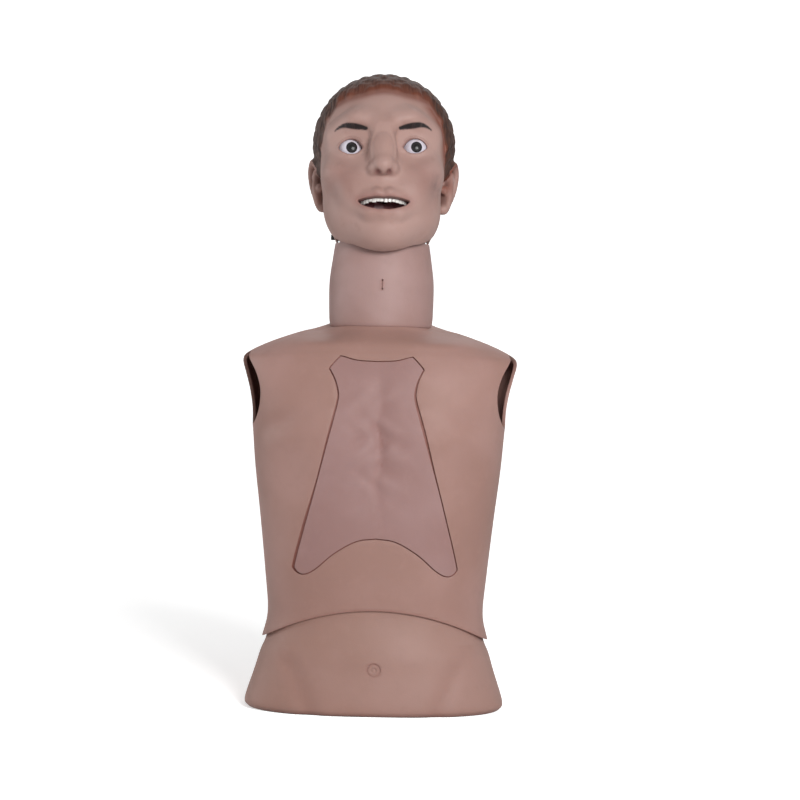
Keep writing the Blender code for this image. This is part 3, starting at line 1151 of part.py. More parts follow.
def build_inside():
    """Column, shoulder plate, tray and the airway, gullet, lungs and stomach behind the chest plate."""
    under = SHOULDER_PLATE_TOP - SHOULDER_PLATE_THICKNESS
    limit = sunk(body_rings(1, 32), SHELL_WALL + SEAT_GAP)
    plate = piece("shoulder_plate", loft("shoulder_plate", limit), DARK_PLASTIC)
    keep(plate, piece("plate_slab", block("plate_slab", (-0.3, -0.3, under), (0.3, 0.3, SHOULDER_PLATE_TOP))))
    cut(plate,
        piece("plate_trachea_hole", cylinder("hole", (0, -TRACHEA_FORWARD, 0.38), (0, -TRACHEA_FORWARD, 0.45),
                                             TRACHEA_RADIUS + SEAT_GAP, 24)),
        piece("plate_gullet_hole", cylinder("hole", (0, GULLET_BACK, 0.38), (0, GULLET_BACK, 0.45),
                                            GULLET_RADIUS + SEAT_GAP, 24)))

    low, high = BASE_THICKNESS + SEAT_GAP, under - SEAT_GAP
    bore = COLUMN_RADIUS - COLUMN_WALL
    flange = COLUMN_FLANGE_RADIUS
    upper, lower = high - COLUMN_FLANGE, low + COLUMN_FLANGE
    profile = [(bore, high), (flange, high), (flange, upper), (COLUMN_RADIUS, upper - COLUMN_CHAMFER),
               (COLUMN_RADIUS, lower + COLUMN_CHAMFER), (flange, lower), (flange, low), (bore, low)]
    piece("spine_column", turned("spine_column", profile, (0, COLUMN_BACK, 0), 24), ALUMINIUM)

    tray_back = COLUMN_BACK - COLUMN_RADIUS - SEAT_GAP
    tray_front = tray_back - TRAY_THICKNESS
    half = TRAY_HALF_WIDTH
    outline = [(-half, TRAY_BOTTOM), (half, TRAY_BOTTOM), (half, TRAY_TOP - 0.060), (0.5 * half, TRAY_TOP),
               (-0.5 * half, TRAY_TOP), (-half, TRAY_TOP - 0.060)]
    tray = piece("organ_tray", prism("organ_tray", outline, tray_front, tray_back), WHITE_PLASTIC, smooth=False)
    shelf = block("shelf", (-half + 0.006, tray_front - SHELF_DEPTH, TRAY_BOTTOM + 0.0001),
                  (half - 0.006, tray_front + 0.001, TRAY_BOTTOM + TRAY_THICKNESS))
    join(tray, piece("shelf", shelf))
    tray_top = TRAY_BOTTOM + TRAY_THICKNESS + SEAT_GAP

    top = LARYNX_TOP - LARYNX_HEIGHT
    ribs = []
    count = int((top - 0.02 - TRACHEA_BOTTOM) / TRACHEA_PITCH)
    for i in range(count):
        z = top - 0.02 - i * TRACHEA_PITCH
        ribs += [(TRACHEA_RADIUS, z), (TRACHEA_RADIUS, z - 0.55 * TRACHEA_PITCH),
                 (TRACHEA_RADIUS - 0.0010, z - 0.78 * TRACHEA_PITCH)]
    profile = [(TRACHEA_BORE, top - SEAT_GAP), (TRACHEA_RADIUS, top - SEAT_GAP), *ribs,
               (TRACHEA_RADIUS, TRACHEA_BOTTOM), (TRACHEA_BORE, TRACHEA_BOTTOM)]
    trachea = piece("trachea", turned("trachea", profile, (0, -TRACHEA_FORWARD, 0), 12), AIRWAY)
    cut(trachea, piece("stoma_way", cylinder("stoma_way", (0, -0.04, SLIT_HEIGHT), (0, -TRACHEA_FORWARD, SLIT_HEIGHT),
                                             STOMA_BORE, 16)))
    profile = [(GULLET_BORE, top - SEAT_GAP), (GULLET_RADIUS, top - SEAT_GAP), (GULLET_RADIUS, GULLET_BOTTOM),
               (GULLET_BORE, GULLET_BOTTOM)]
    piece("oesophagus", turned("oesophagus", profile, (0, GULLET_BACK, 0), 16), AIRWAY)

    larynx = piece("larynx", cylinder("larynx", (0, 0, top), (0, 0, LARYNX_TOP), LARYNX_RADIUS - 0.003, 32,
                                      LARYNX_RADIUS), AIRWAY)
    cut(larynx,
        piece("larynx_cup", cylinder("larynx_cup", (0, 0, top + 0.012), (0, 0, LARYNX_TOP + 0.004), 0.016, 32,
                                     LARYNX_RADIUS)),
        piece("larynx_front", cylinder("larynx_front", (0, -TRACHEA_FORWARD, top - 0.01),
                                       (0, -TRACHEA_FORWARD, LARYNX_TOP), TRACHEA_BORE, 20)),
        piece("larynx_back", cylinder("larynx_back", (0, GULLET_BACK, top - 0.01),
                                      (0, GULLET_BACK, LARYNX_TOP), GULLET_BORE, 20)))

    fork = TRACHEA_BOTTOM - SEAT_GAP
    bronchi = piece("bronchi", cylinder("bronchi", (0, -TRACHEA_FORWARD, fork), (0, -TRACHEA_FORWARD, fork - 0.012),
                                        TRACHEA_RADIUS, 16), AIRWAY)
    for side in (-1, 1):
        branch = tube("branch", [(0, -TRACHEA_FORWARD, fork - 0.006), (side * 0.006, -TRACHEA_FORWARD, fork - 0.016),
                                 (side * (LUNG_GAP + 0.0005), -TRACHEA_FORWARD, fork - 0.030)], 0.0058, 2)
        join(bronchi, piece("branch", branch))
    reach = LUNG_GAP + 0.0005
    keep(bronchi, piece("bronchi_ends", block("bronchi_ends", (-reach, -0.06, 0.25), (reach, 0.03, 0.40))))

    lung_back = tray_front - SEAT_GAP
    for side, word, low in ((-1, "right", tray_top), (1, "left", tray_top + STOMACH_ROOM)):
        rows = [(low, 0.030, 0.024), (low + 0.012, 0.038, 0.033), (0.5 * (low + LUNG_TOP), 0.0365, 0.035),
                (LUNG_TOP - 0.033, 0.028, 0.030), (LUNG_TOP - 0.010, 0.018, 0.020), (LUNG_TOP, 0.011, 0.012)]
        rings = []
        for z, wide, deep in smooth_path(rows, 2):
            points = oval(z, wide, deep, deep, 2.4, 16)
            points[:, 0] += side * (LUNG_GAP + 0.001 + wide)
            points[:, 1] = np.minimum(points[:, 1] + lung_back - 0.75 * deep, lung_back)
            rings.append(points)
        piece(f"lung_{word}", loft(f"lung_{word}", rings), LUNG)

    bag = [(0, GULLET_BACK, GULLET_BOTTOM + 0.002, GULLET_RADIUS),
           (0.006, GULLET_BACK - 0.003, GULLET_BOTTOM - 0.010, 0.0100),
           (0.026, -0.001, GULLET_BOTTOM - 0.027, 0.0195), (0.036, -0.008, tray_top + 0.0235, 0.0230),
           (0.020, -0.014, tray_top + 0.0180, 0.0165), (0.002, -0.016, tray_top + 0.0120, 0.0100),
           (-0.008, -0.016, tray_top + 0.0100, 0.0075)]
    rows = smooth_path(bag, 2)
    stomach = piece("stomach", tube("stomach", rows[:, :3], 1.0, 3, rows[:, 3]), STOMACH)
    cut(stomach, piece("stomach_top", block("stomach_top", (-0.1, -0.1, GULLET_BOTTOM - SEAT_GAP),
                                            (0.1, 0.1, GULLET_BOTTOM + 0.1))))
    return tray


for old in list(bpy.data.objects):
    bpy.data.objects.remove(old)
PARTS = collection("nursing_care_manikin")
CUTTERS = collection("cutters")
CUTTERS.hide_render = True

SKIN = material("skin_vinyl", (0.376, 0.223, 0.180), 0.52)
PLATE_SKIN = material("plate_vinyl", (0.342, 0.220, 0.198), 0.52)
DARK_PLASTIC = material("dark_plastic", (0.035, 0.033, 0.032), 0.5)
BLACK = material("black_pin", (0.012, 0.012, 0.012), 0.4)
WHITE_PLASTIC = material("tray_plastic", (0.62, 0.61, 0.58), 0.5)
RUBBER = material("rubber", (0.30, 0.15, 0.12), 0.7)
STEEL = material("screw_steel", (0.55, 0.55, 0.56), 0.35, 1.0)
ALUMINIUM = material("column_aluminium", (0.70, 0.70, 0.71), 0.4, 1.0)
EYE_WHITE = material("eye_glaze", (0.66, 0.64, 0.68), 0.12)
TOOTH = material("tooth_glaze", (0.80, 0.78, 0.74), 0.2)
TONGUE = material("tongue_rubber", (0.42, 0.12, 0.12), 0.4)
MOUTH_RED = material("mouth_lining", (0.12, 0.03, 0.035), 0.5)
AIRWAY = material("airway_rubber", (0.62, 0.36, 0.30), 0.45)
LUNG = material("lung_foam", (0.55, 0.20, 0.19), 0.6)
STOMACH = material("stomach_rubber", (0.60, 0.30, 0.22), 0.5)

build_base()
build_lower_body()
build_chest_shell()
build_chest_plate()
build_neck()
build_collar()
build_inside()
build_head(head_frame())
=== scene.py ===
import math

import bmesh
import bpy
import numpy as np
from mathutils import Euler, Matrix, Vector


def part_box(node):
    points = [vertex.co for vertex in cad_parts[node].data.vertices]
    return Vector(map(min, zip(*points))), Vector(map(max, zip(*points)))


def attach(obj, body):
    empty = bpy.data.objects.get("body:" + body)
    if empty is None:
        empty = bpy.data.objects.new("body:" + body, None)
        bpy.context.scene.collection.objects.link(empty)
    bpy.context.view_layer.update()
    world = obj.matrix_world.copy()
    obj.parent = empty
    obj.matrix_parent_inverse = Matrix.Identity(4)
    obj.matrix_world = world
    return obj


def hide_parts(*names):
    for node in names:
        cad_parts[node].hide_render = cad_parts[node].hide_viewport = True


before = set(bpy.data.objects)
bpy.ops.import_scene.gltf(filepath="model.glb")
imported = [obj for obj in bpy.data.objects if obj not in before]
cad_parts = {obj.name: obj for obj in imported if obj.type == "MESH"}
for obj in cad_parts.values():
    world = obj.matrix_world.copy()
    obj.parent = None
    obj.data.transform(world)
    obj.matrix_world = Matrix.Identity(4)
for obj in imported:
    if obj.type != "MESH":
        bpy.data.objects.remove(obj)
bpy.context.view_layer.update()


# The studio: a white paper sweep that the manikin stands on, a large soft lamp in front on the
# picture's right, and two weaker ones at the left and behind. The camera stands 2.5 m away, level
# with the manikin's middle, and is rolled slightly, as in the photograph.
class Flow:
    """A socket of a material, on which shader sums are written as plain expressions."""

    def __init__(self, tree, socket=None):
        self.tree = tree
        self.socket = socket

    def node(self, kind, settings=(), sockets=(), out=0):
        made = self.tree.nodes.new("ShaderNode" + kind)
        for name, value in dict(settings).items():
            setattr(made, name, value)
        for name, value in dict(sockets).items():
            if isinstance(value, Flow):
                self.tree.links.new(value.socket, made.inputs[name])
            else:
                made.inputs[name].default_value = value
        return Flow(self.tree, made.outputs[out]) if made.outputs else None

    def sum(self, operation, *others):
        return self.node("Math", {"operation": operation}, dict(enumerate((self, *others))))

    def __add__(self, other):
        return self.sum("ADD", other)

    __radd__ = __add__

    def __sub__(self, other):
        return self.sum("SUBTRACT", other)

    def __rsub__(self, other):
        return self.node("Math", {"operation": "SUBTRACT"}, {0: other, 1: self})

    def __mul__(self, other):
        return self.sum("MULTIPLY", other)

    __rmul__ = __mul__

    def step(self, low, high):
        """0 below one value, 1 above another, and smooth between them."""
        return self.node("MapRange", {"interpolation_type": "SMOOTHSTEP"},
                         {"Value": self, "From Min": low, "From Max": high})

    def tint(self, other, share):
        """This colour mixed with another by a share."""
        return self.node("Mix", {"data_type": "RGBA"}, {0: share, 6: self, 7: other}, 2)

    def between(self, low, high):
        """A colour between two others, with this as the share of the second."""
        return self.node("Mix", {"data_type": "RGBA"}, {0: self, 6: low, 7: high}, 2)

    def noise(self, scale, detail, **more):
        """Cloudy noise over these places."""
        return self.node("TexNoise", (), {"Vector": self, "Scale": scale, "Detail": detail, **more})


def linear(*rgb):
    """Display values from 0 to 255 as a linear colour."""
    return tuple(v / 255 / 12.92 if v < 10.3 else ((v / 255 + 0.055) / 1.055) ** 2.4 for v in rgb) + (1.0,)


def new_material(name):
    made = bpy.data.materials.new(name)
    made.use_nodes = True
    made.node_tree.nodes.clear()
    return made, Flow(made.node_tree)


def finish_with(flow, surface):
    flow.node("OutputMaterial", (), {"Surface": surface})


bpy.context.scene.view_settings.view_transform = "Standard"
camera = bpy.data.objects.new("camera", bpy.data.cameras.new("camera"))
bpy.context.scene.collection.objects.link(camera)
bpy.context.scene.camera = camera
camera.data.lens = 96.15
camera.data.sensor_width = 36
camera.data.shift_y = -0.0076
camera.location = (0.024, -2.5, 0.366)
camera.rotation_euler = (math.pi / 2, math.radians(-1.1), 0)

world = bpy.data.worlds.new("studio")
bpy.context.scene.world = world
world.use_nodes = True
world.node_tree.nodes.clear()
air = Flow(world.node_tree)
rays = [air.node("LightPath", out=name) for name in ("Is Camera Ray", "Is Glossy Ray", "Is Transmission Ray")]
white = (rays[0] + rays[1] + rays[2]).sum("MINIMUM", 1.0)
FILL = 0.22
background = air.node("Background", (), {"Color": (1, 1, 1, 1), "Strength": white * (1 - FILL) + FILL})
air.node("OutputWorld", (), {"Surface": background})

lamp_rows = [("key", (0.9, -2.6, 1.1), 0.9, 61.0), ("strip", (-2.0, 0.3, 0.7), 0.8, 10.0),
             ("rim", (0.2, 1.7, 1.9), 1.2, 7.0)]
for name, place, size, power in lamp_rows:
    lamp = bpy.data.objects.new(name, bpy.data.lights.new(name, "AREA"))
    bpy.context.scene.collection.objects.link(lamp)
    lamp.data.size = size
    lamp.data.energy = power
    lamp.location = place
    lamp.rotation_euler = (Vector((0, 0, 0.38)) - Vector(place)).to_track_quat("-Z", "Y").to_euler()

sweep_rows = [(-3.0, 0.0), (1.2, 0.0), (1.75, 0.08), (2.1, 0.35), (2.2, 0.8), (2.2, 3.0)]
sweep_mesh = bpy.data.meshes.new("sweep")
sweep_mesh.from_pydata([(x, y, z) for y, z in sweep_rows for x in (-3.5, 3.5)], [],
                       [(2 * i, 2 * i + 1, 2 * i + 3, 2 * i + 2) for i in range(len(sweep_rows) - 1)])
sweep_mesh.shade_smooth()
sweep = bpy.data.objects.new("sweep", sweep_mesh)
bpy.context.scene.collection.objects.link(sweep)
paper, flow = new_material("paper_sweep")
grain = flow.node("TexCoord", out="Object").noise(3.0, 2.0)
plain = flow.node("BsdfDiffuse", (), {"Color": (0.93, 0.93, 0.93, 1), "Roughness": grain * 0.1 + 0.9})
glow = flow.node("Emission", (), {"Color": (1, 1, 1, 1), "Strength": 0.55})
camera_ray = flow.node("LightPath", out="Is Camera Ray")
lit = flow.node("AddShader", (), {0: plain, 1: glow})
finish_with(flow, flow.node("MixShader", (), {0: camera_ray, 1: plain, 2: lit}))
sweep_mesh.materials.append(paper)


# The base plate is a flat board of dark moulded plastic, screwed up into the hips with four
# countersunk steel screws. It is only seen when the manikin is lifted or laid down.
def moulded(name, colour, roughness=0.5, grain=0.06, metal=0.0):
    """Moulded plastic, rubber or metal: slightly cloudy colour, a fine grain and rubbed spots."""
    made, flow = new_material(name)
    place = flow.node("TexCoord", out="Object")
    cloud, fine = place.noise(22.0, 4.0), place.noise(700.0, 2.0)
    rub = cloud.step(0.52, 0.70)
    dark = tuple(0.78 * v for v in colour[:3]) + (1,)
    light = tuple(min(1, 1.10 * v + 0.004) for v in colour[:3]) + (1,)
    base = cloud.step(0.30, 0.72).between(dark, light)
    bump = flow.node("Bump", (), {"Strength": grain, "Distance": 0.0005, "Height": fine + cloud * 0.5})
    surface = flow.node("BsdfPrincipled", (), {
        "Base Color": base, "Roughness": roughness + rub * 0.10 - fine * 0.05, "Metallic": metal,
        "Normal": bump})
    finish_with(flow, surface)
    return made


def dress(node, made):
    """A CAD node that keeps its shape and takes a finished material."""
    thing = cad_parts[node]
    thing.data.materials.clear()
    thing.data.materials.append(made)


def object_from(name, mesh):
    made = bpy.data.objects.new(name, mesh)
    bpy.context.scene.collection.objects.link(made)
    return made


def baked(thing):
    """The object's modifiers turned into its mesh."""
    bpy.context.view_layer.update()
    mesh = bpy.data.meshes.new_from_object(thing.evaluated_get(bpy.context.evaluated_depsgraph_get()))
    thing.modifiers.clear()
    thing.data = mesh
    return thing


dark_plastic = moulded("dark_plastic_finish", (0.035, 0.033, 0.032))
for node in ("base_plate", "neck_core", "shoulder_plate"):
    dress(node, dark_plastic)


def tree_of_copies(name):
    """A Geometry Nodes tree that repeats a made shape at its input's points, turned and sized there."""
    tree = bpy.data.node_groups.new(name, "GeometryNodeTree")
    for label, kind in (("Geometry", "Geometry"), ("Shape", "Object"), ("Finish", "Material")):
        tree.interface.new_socket(label, in_out="INPUT", socket_type="NodeSocket" + kind)
    tree.interface.new_socket("Geometry", in_out="OUTPUT", socket_type="NodeSocketGeometry")
    enter, leave = tree.nodes.new("NodeGroupInput"), tree.nodes.new("NodeGroupOutput")
    shape, copies, real, paint = (tree.nodes.new("GeometryNode" + kind) for kind in (
        "ObjectInfo", "InstanceOnPoints", "RealizeInstances", "SetMaterial"))
    link = tree.links.new
    link(enter.outputs["Shape"], shape.inputs["Object"])
    link(enter.outputs["Geometry"], copies.inputs["Points"])
    link(shape.outputs["Geometry"], copies.inputs["Instance"])
    for label, socket in (("turn", "Rotation"), ("size", "Scale")):
        read = tree.nodes.new("GeometryNodeInputNamedAttribute")
        read.data_type = "FLOAT_VECTOR"
        read.inputs["Name"].default_value = label
        link(read.outputs["Attribute"], copies.inputs[socket])
    link(copies.outputs["Instances"], real.inputs["Geometry"])
    link(real.outputs["Geometry"], paint.inputs["Geometry"])
    link(enter.outputs["Finish"], paint.inputs["Material"])
    link(paint.outputs["Geometry"], leave.inputs["Geometry"])
    return tree


def copies_of(shape, points, tree, finish, name, turns=None, sizes=None):
    """One plain mesh of a shape repeated at points, with a turn and a size for each."""
    mesh = bpy.data.meshes.new(name)
    mesh.from_pydata([tuple(p) for p in points], [], [])
    for label, values, plain in (("turn", turns, (0, 0, 0)), ("size", sizes, (1, 1, 1))):
        made = mesh.attributes.new(label, "FLOAT_VECTOR", "POINT")
        made.data.foreach_set("vector", np.array(values or [plain] * len(points), float).ravel())
    holder = object_from(name, mesh)
    step = holder.modifiers.new("Copies", "NODES")
    step.node_group = tree
    inputs = {"Shape": shape, "Finish": finish}
    for item in tree.interface.items_tree:
        if item.in_out == "INPUT" and item.name in inputs:
            step[item.identifier] = inputs[item.name]
    baked(holder)
    bpy.data.objects.remove(shape)
    return holder


def mesh_from(work, name):
    mesh = bpy.data.meshes.new(name)
    work.to_mesh(mesh)
    work.free()
    return mesh


def box_mesh(low, high):
    work = bmesh.new()
    low, high = Vector(low), Vector(high)
    bmesh.ops.create_cube(work, size=1, matrix=Matrix.LocRotScale((low + high) / 2, None, high - low))
    return mesh_from(work, "box")


def cut(target, *meshes, operation="DIFFERENCE"):
    """Cuts meshes out of an object, joins them to it, or keeps what they share with it."""
    for mesh in meshes:
        cutter = object_from("cutter", mesh)
        step = target.modifiers.new("Cut", "BOOLEAN")
        step.operation = operation
        step.object = cutter
        baked(target)
        bpy.data.objects.remove(cutter)
    return target


copy_tree = tree_of_copies("copies_on_points")
SCREW_SIDES = 16
SCREW_ROWS = [(0.0018, 0.0088), (0.0020, 0.0030), (0.0036, 0.0014), (0.0038, 0.0008), (0.0034, 0.0005)]


def screw_shape():
    """A countersunk screw head with a cross recess, and its shank, upside down."""
    work = bmesh.new()
    rows = [[work.verts.new((radius * math.cos(a), radius * math.sin(a), z))
             for a in np.arange(SCREW_SIDES) * 2 * math.pi / SCREW_SIDES] for radius, z in SCREW_ROWS]
    for lower, upper in zip(rows, rows[1:]):
        for i in range(SCREW_SIDES):
            after = (i + 1) % SCREW_SIDES
            work.faces.new((lower[i], lower[after], upper[after], upper[i]))
    work.faces.new(rows[0][::-1])
    work.faces.new(rows[-1])
    bmesh.ops.recalc_face_normals(work, faces=work.faces)
    return cut(object_from("screw_shape", mesh_from(work, "screw")),
               box_mesh((-0.00045, -0.0021, -0.0001), (0.00045, 0.0021, 0.0015)),
               box_mesh((-0.0021, -0.00045, -0.0001), (0.0021, 0.00045, 0.0015)))


steel = moulded("screw_steel_finish", (0.55, 0.55, 0.56), 0.32, 0.04, 1.0)
screw_nodes = [f"base_screw_{i}" for i in range(1, 5)]
screw_points = [((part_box(n)[0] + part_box(n)[1]) / 2).xy.to_3d() for n in screw_nodes]
screws = copies_of(screw_shape(), screw_points, copy_tree, steel, "base_screws")
screws.data.set_sharp_from_angle(angle=math.radians(35))
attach(screws, "torso")
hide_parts(*screw_nodes)


# The hips and belly are one hollow moulding of soft skin-coloured vinyl. It ends in a rounded
# foot below and goes up inside the chest above. A ring marks the navel, and shallow folds run
# down from the hips.
def smooth_path(points, per_gap):
    """Points along a Catmull-Rom curve through the given rows."""
    rows = np.array(points, float)
    padded = np.vstack([2 * rows[0] - rows[1], rows, 2 * rows[-1] - rows[-2]])
    path = []
    for a, b, c, d in zip(padded, padded[1:], padded[2:], padded[3:]):
        for t in np.arange(per_gap) / per_gap:
            path.append(0.5 * (2 * b + (c - a) * t + (2 * a - 5 * b + 4 * c - d) * t ** 2
                               + (3 * b - a - 3 * c + d) * t ** 3))
    return np.array(path + [rows[-1]])


def oval(height, half_width, front, back, squareness, count):
    """One level section of the body: a superellipse with its own depth to the front and back."""
    angle = np.arange(count) * 2 * np.pi / count
    angle = angle + 0.12 * np.sin(4 * angle)
    c, s = np.cos(angle), np.sin(angle)
    power = 2 / squareness
    x = half_width * np.sign(c) * np.abs(c) ** power
    y = np.where(s < 0, front, back) * np.sign(s) * np.abs(s) ** power
    return np.column_stack([x, y, np.full(count, height)])


def closed_stack(name, rings):
    """A closed skin over a stack of rings, with flat ends."""
    rings = np.asarray(rings, float)
    rows, count = rings.shape[:2]
    i, j = np.meshgrid(np.arange(rows - 1), np.arange(count), indexing="ij")
    a, b = i * count + j, i * count + (j + 1) % count
    quads = np.stack([a, b, b + count, a + count], axis=2).reshape(-1, 4).tolist()
    ends = [list(range(count))[::-1], [(rows - 1) * count + k for k in range(count)]]
    mesh = bpy.data.meshes.new(name)
    mesh.from_pydata(rings.reshape(-1, 3).tolist(), [], quads + ends)
    return mesh


def sunk(rings, depth):
    """The rings moved inwards along the surface's normals."""
    rings = np.asarray(rings, float)
    normal = np.cross(np.roll(rings, -1, axis=1) - np.roll(rings, 1, axis=1), np.gradient(rings, axis=0))
    normal /= np.linalg.norm(normal, axis=2, keepdims=True)
    return rings - normal * depth


SHARP_FOLD = math.radians(42)


def soften(thing, width, segments=2, angle=50):
    """Rounds the sharp edges slightly, as in moulded vinyl."""
    step = thing.modifiers.new("Round", "BEVEL")
    step.width = width
    step.segments = segments
    step.limit_method = "ANGLE"
    step.angle_limit = math.radians(angle)
    step.use_clamp_overlap = True
    step.miter_outer = "MITER_ARC"
    baked(thing)
    thing.data.shade_smooth()
    thing.data.set_sharp_from_angle(angle=SHARP_FOLD)


def marks(mesh, **values):
    """Numbers kept on the mesh's points for its material."""
    for name, numbers in values.items():
        made = mesh.attributes.new(name, "FLOAT", "POINT")
        made.data.foreach_set("value", np.ascontiguousarray(numbers, dtype=np.float32))


def points_of(mesh):
    points = np.empty(len(mesh.vertices) * 3)
    mesh.vertices.foreach_get("co", points)
    return points.reshape(-1, 3).T


def shaded(colour, share):
    """A colour made darker or lighter by a share of itself."""
    return tuple(min(1, share * v) for v in colour[:3]) + (1,)


def vinyl(name, colour, warm, cool):
    """Soft painted vinyl: cloudy patches of warm and cool, fine pores, and painted shade where the mesh's
    shade numbers mark grooves, creases and recesses.
    """
    made, flow = new_material(name)
    place = flow.node("TexCoord", out="Object")
    broad, mottle = place.noise(7.0, 3.0, Roughness=0.55), place.noise(55.0, 5.0, Roughness=0.6)
    pores = place.noise(620.0, 3.0)
    cells = flow.node("TexVoronoi", (), {"Vector": place, "Scale": 420.0})
    base = broad.step(0.38, 0.66).between(cool, warm).tint(colour, 0.45)
    base = base.tint(shaded(colour, 0.86), mottle.step(0.50, 0.80) * 0.35)
    base = base.tint(shaded(colour, 1.12), mottle.step(0.50, 0.22) * 0.25)
    # Painted shade: the mesh's shade numbers tint the colour dark red-brown in grooves, creases and recesses.
    base = base.tint((0.24, 0.09, 0.07, 1), flow.node("Attribute", {"attribute_name": "shade"}, out="Fac"))
    bump = flow.node("Bump", (), {"Strength": 0.16, "Distance": 0.0004,
                                  "Height": pores + cells * 0.5 + mottle * 0.8})
    surface = flow.node("BsdfPrincipled", (), {
        "Base Color": base, "Roughness": 0.50 + mottle * 0.12, "Normal": bump,
        "Subsurface Weight": 0.06, "Subsurface Radius": (0.010, 0.004, 0.002), "Subsurface Scale": 0.35,
        "Specular IOR Level": 0.30})
    finish_with(flow, surface)
    return made


def rod_mesh(start, end, radius, sides=24, squash=None):
    """A straight rod, round or, with a squash, oval."""
    work = bmesh.new()
    start, end = Vector(start), Vector(end)
    place = Matrix.Translation((start + end) / 2) @ (end - start).to_track_quat("Z", "Y").to_matrix().to_4x4()
    if squash:
        place = place @ Matrix.Diagonal((*squash, 1, 1))
    bmesh.ops.create_cone(work, cap_ends=True, segments=sides, radius1=radius, radius2=radius,
                          depth=(end - start).length, matrix=place)
    return mesh_from(work, "rod")


HIP_HEIGHT, HIP_HALF, HIP_FRONT, HIP_BACK, FOOT_ROUND = 0.007, 0.150, 0.094, 0.088, 0.009
WAIST_HEIGHT, WAIST_HALF, WAIST_FRONT, WAIST_BACK = 0.111, 0.1256, 0.092, 0.0845
WALL, SLIP, HEM_FLARE, HEM_DROP, HEM_RISE = 0.0035, 0.004, 0.006, 0.029, 0.0095
ARMPIT, SHOULDER, COLLAR = 0.335, 0.404, 0.449
CHEST_HALF, CHEST_FRONT, CHEST_BACK = 0.148, 0.104, 0.0915
SHOULDER_HALF, SHOULDER_FRONT, SHOULDER_BACK, NECK_HOLE = 0.1605, 0.0865, 0.0845, 0.0535
CHEST_MIDDLE = (WAIST_HEIGHT + ARMPIT) / 2
chest_rows = [
    (0.062, 0.1366, 0.102, 0.0925, 2.35),
    (WAIST_HEIGHT - HEM_DROP, WAIST_HALF + HEM_FLARE, WAIST_FRONT + 0.0055, WAIST_BACK + 0.004, 2.35),
    (WAIST_HEIGHT, WAIST_HALF, WAIST_FRONT, WAIST_BACK, 2.35),
    (0.6 * WAIST_HEIGHT + 0.4 * CHEST_MIDDLE, WAIST_HALF + 0.0035, WAIST_FRONT + 0.002,
     WAIST_BACK + 0.002, 2.4),
    (CHEST_MIDDLE, 0.52 * WAIST_HALF + 0.48 * CHEST_HALF, 0.098, 0.088, 2.4),
    ((CHEST_MIDDLE + ARMPIT) / 2, CHEST_HALF - 0.005, CHEST_FRONT - 0.0015, CHEST_BACK - 0.001, 2.45),
    (ARMPIT, CHEST_HALF, CHEST_FRONT - 0.001, CHEST_BACK, 2.5),
    (0.6 * ARMPIT + 0.4 * SHOULDER, 0.1533, CHEST_FRONT - 0.005, CHEST_BACK - 0.001, 2.6),
    (0.25 * ARMPIT + 0.75 * SHOULDER, SHOULDER_HALF - 0.002, SHOULDER_FRONT + 0.007,
     SHOULDER_BACK + 0.004, 2.7),
    (SHOULDER, SHOULDER_HALF, SHOULDER_FRONT, SHOULDER_BACK, 2.7),
    (0.8 * SHOULDER + 0.2 * COLLAR, SHOULDER_HALF - 0.0085, SHOULDER_FRONT - 0.0035,
     SHOULDER_BACK - 0.0025, 2.5),
    (0.53 * SHOULDER + 0.47 * COLLAR, SHOULDER_HALF - 0.0335, SHOULDER_FRONT - 0.011,
     SHOULDER_BACK - 0.008, 2.3),
    (0.23 * SHOULDER + 0.77 * COLLAR, NECK_HOLE + 0.0365, NECK_HOLE + 0.0065, NECK_HOLE + 0.011, 1.65),
    (COLLAR, NECK_HOLE + 0.0055, NECK_HOLE - 0.003, NECK_HOLE + 0.0045, 1.9),
    (COLLAR + 0.006, NECK_HOLE - 0.002, NECK_HOLE - 0.006, NECK_HOLE - 0.002, 2.0),
]
chest_fine = smooth_path(chest_rows, 8)
chest_fine = chest_fine[np.argsort(chest_fine[:, 0])]


def chest_sizes(height):
    """The chest's half width, depth to the front and to the back, and squareness at a height."""
    return [np.interp(height, chest_fine[:, 0], column) for column in chest_fine.T[1:]]


def inside_chest(height):
    half_width, front, back, squareness = chest_sizes(height)
    return (height, half_width - SLIP, front - SLIP, back - SLIP, squareness)


hem_edge = WAIST_HEIGHT - HEM_DROP
hip_rows = [
    (0.0, *(v - FOOT_ROUND for v in (HIP_HALF, HIP_FRONT, HIP_BACK)), 2.7),
    (0.4 * HIP_HEIGHT, *(v - 0.3 * FOOT_ROUND for v in (HIP_HALF, HIP_FRONT, HIP_BACK)), 2.7),
    (1.6 * HIP_HEIGHT, HIP_HALF, HIP_FRONT, HIP_BACK, 2.7),
    (0.5 * (HIP_HEIGHT + hem_edge), HIP_HALF - 0.0105, HIP_FRONT - 0.001, HIP_BACK - 0.002, 2.55),
    (0.8 * hem_edge, WAIST_HALF + 0.0075, WAIST_FRONT + 0.002, WAIST_BACK + 0.0015, 2.4),
    (hem_edge, WAIST_HALF + HEM_FLARE - SLIP - 0.001, WAIST_FRONT + 0.0005, WAIST_BACK - 0.0005, 2.35),
    inside_chest(WAIST_HEIGHT), inside_chest(WAIST_HEIGHT + 0.02), inside_chest(WAIST_HEIGHT + 0.04)]
NAVEL_HEIGHT, NAVEL_RADIUS, NAVEL_PIP, NAVEL_LINE = 0.0537, 0.0072, 0.0034, 0.0017


def groin_fold(x, z):
    """How far a place lies outside the fold between belly and thigh."""
    return np.abs(x) - (0.074 + 0.44 * (z - HIP_HEIGHT))


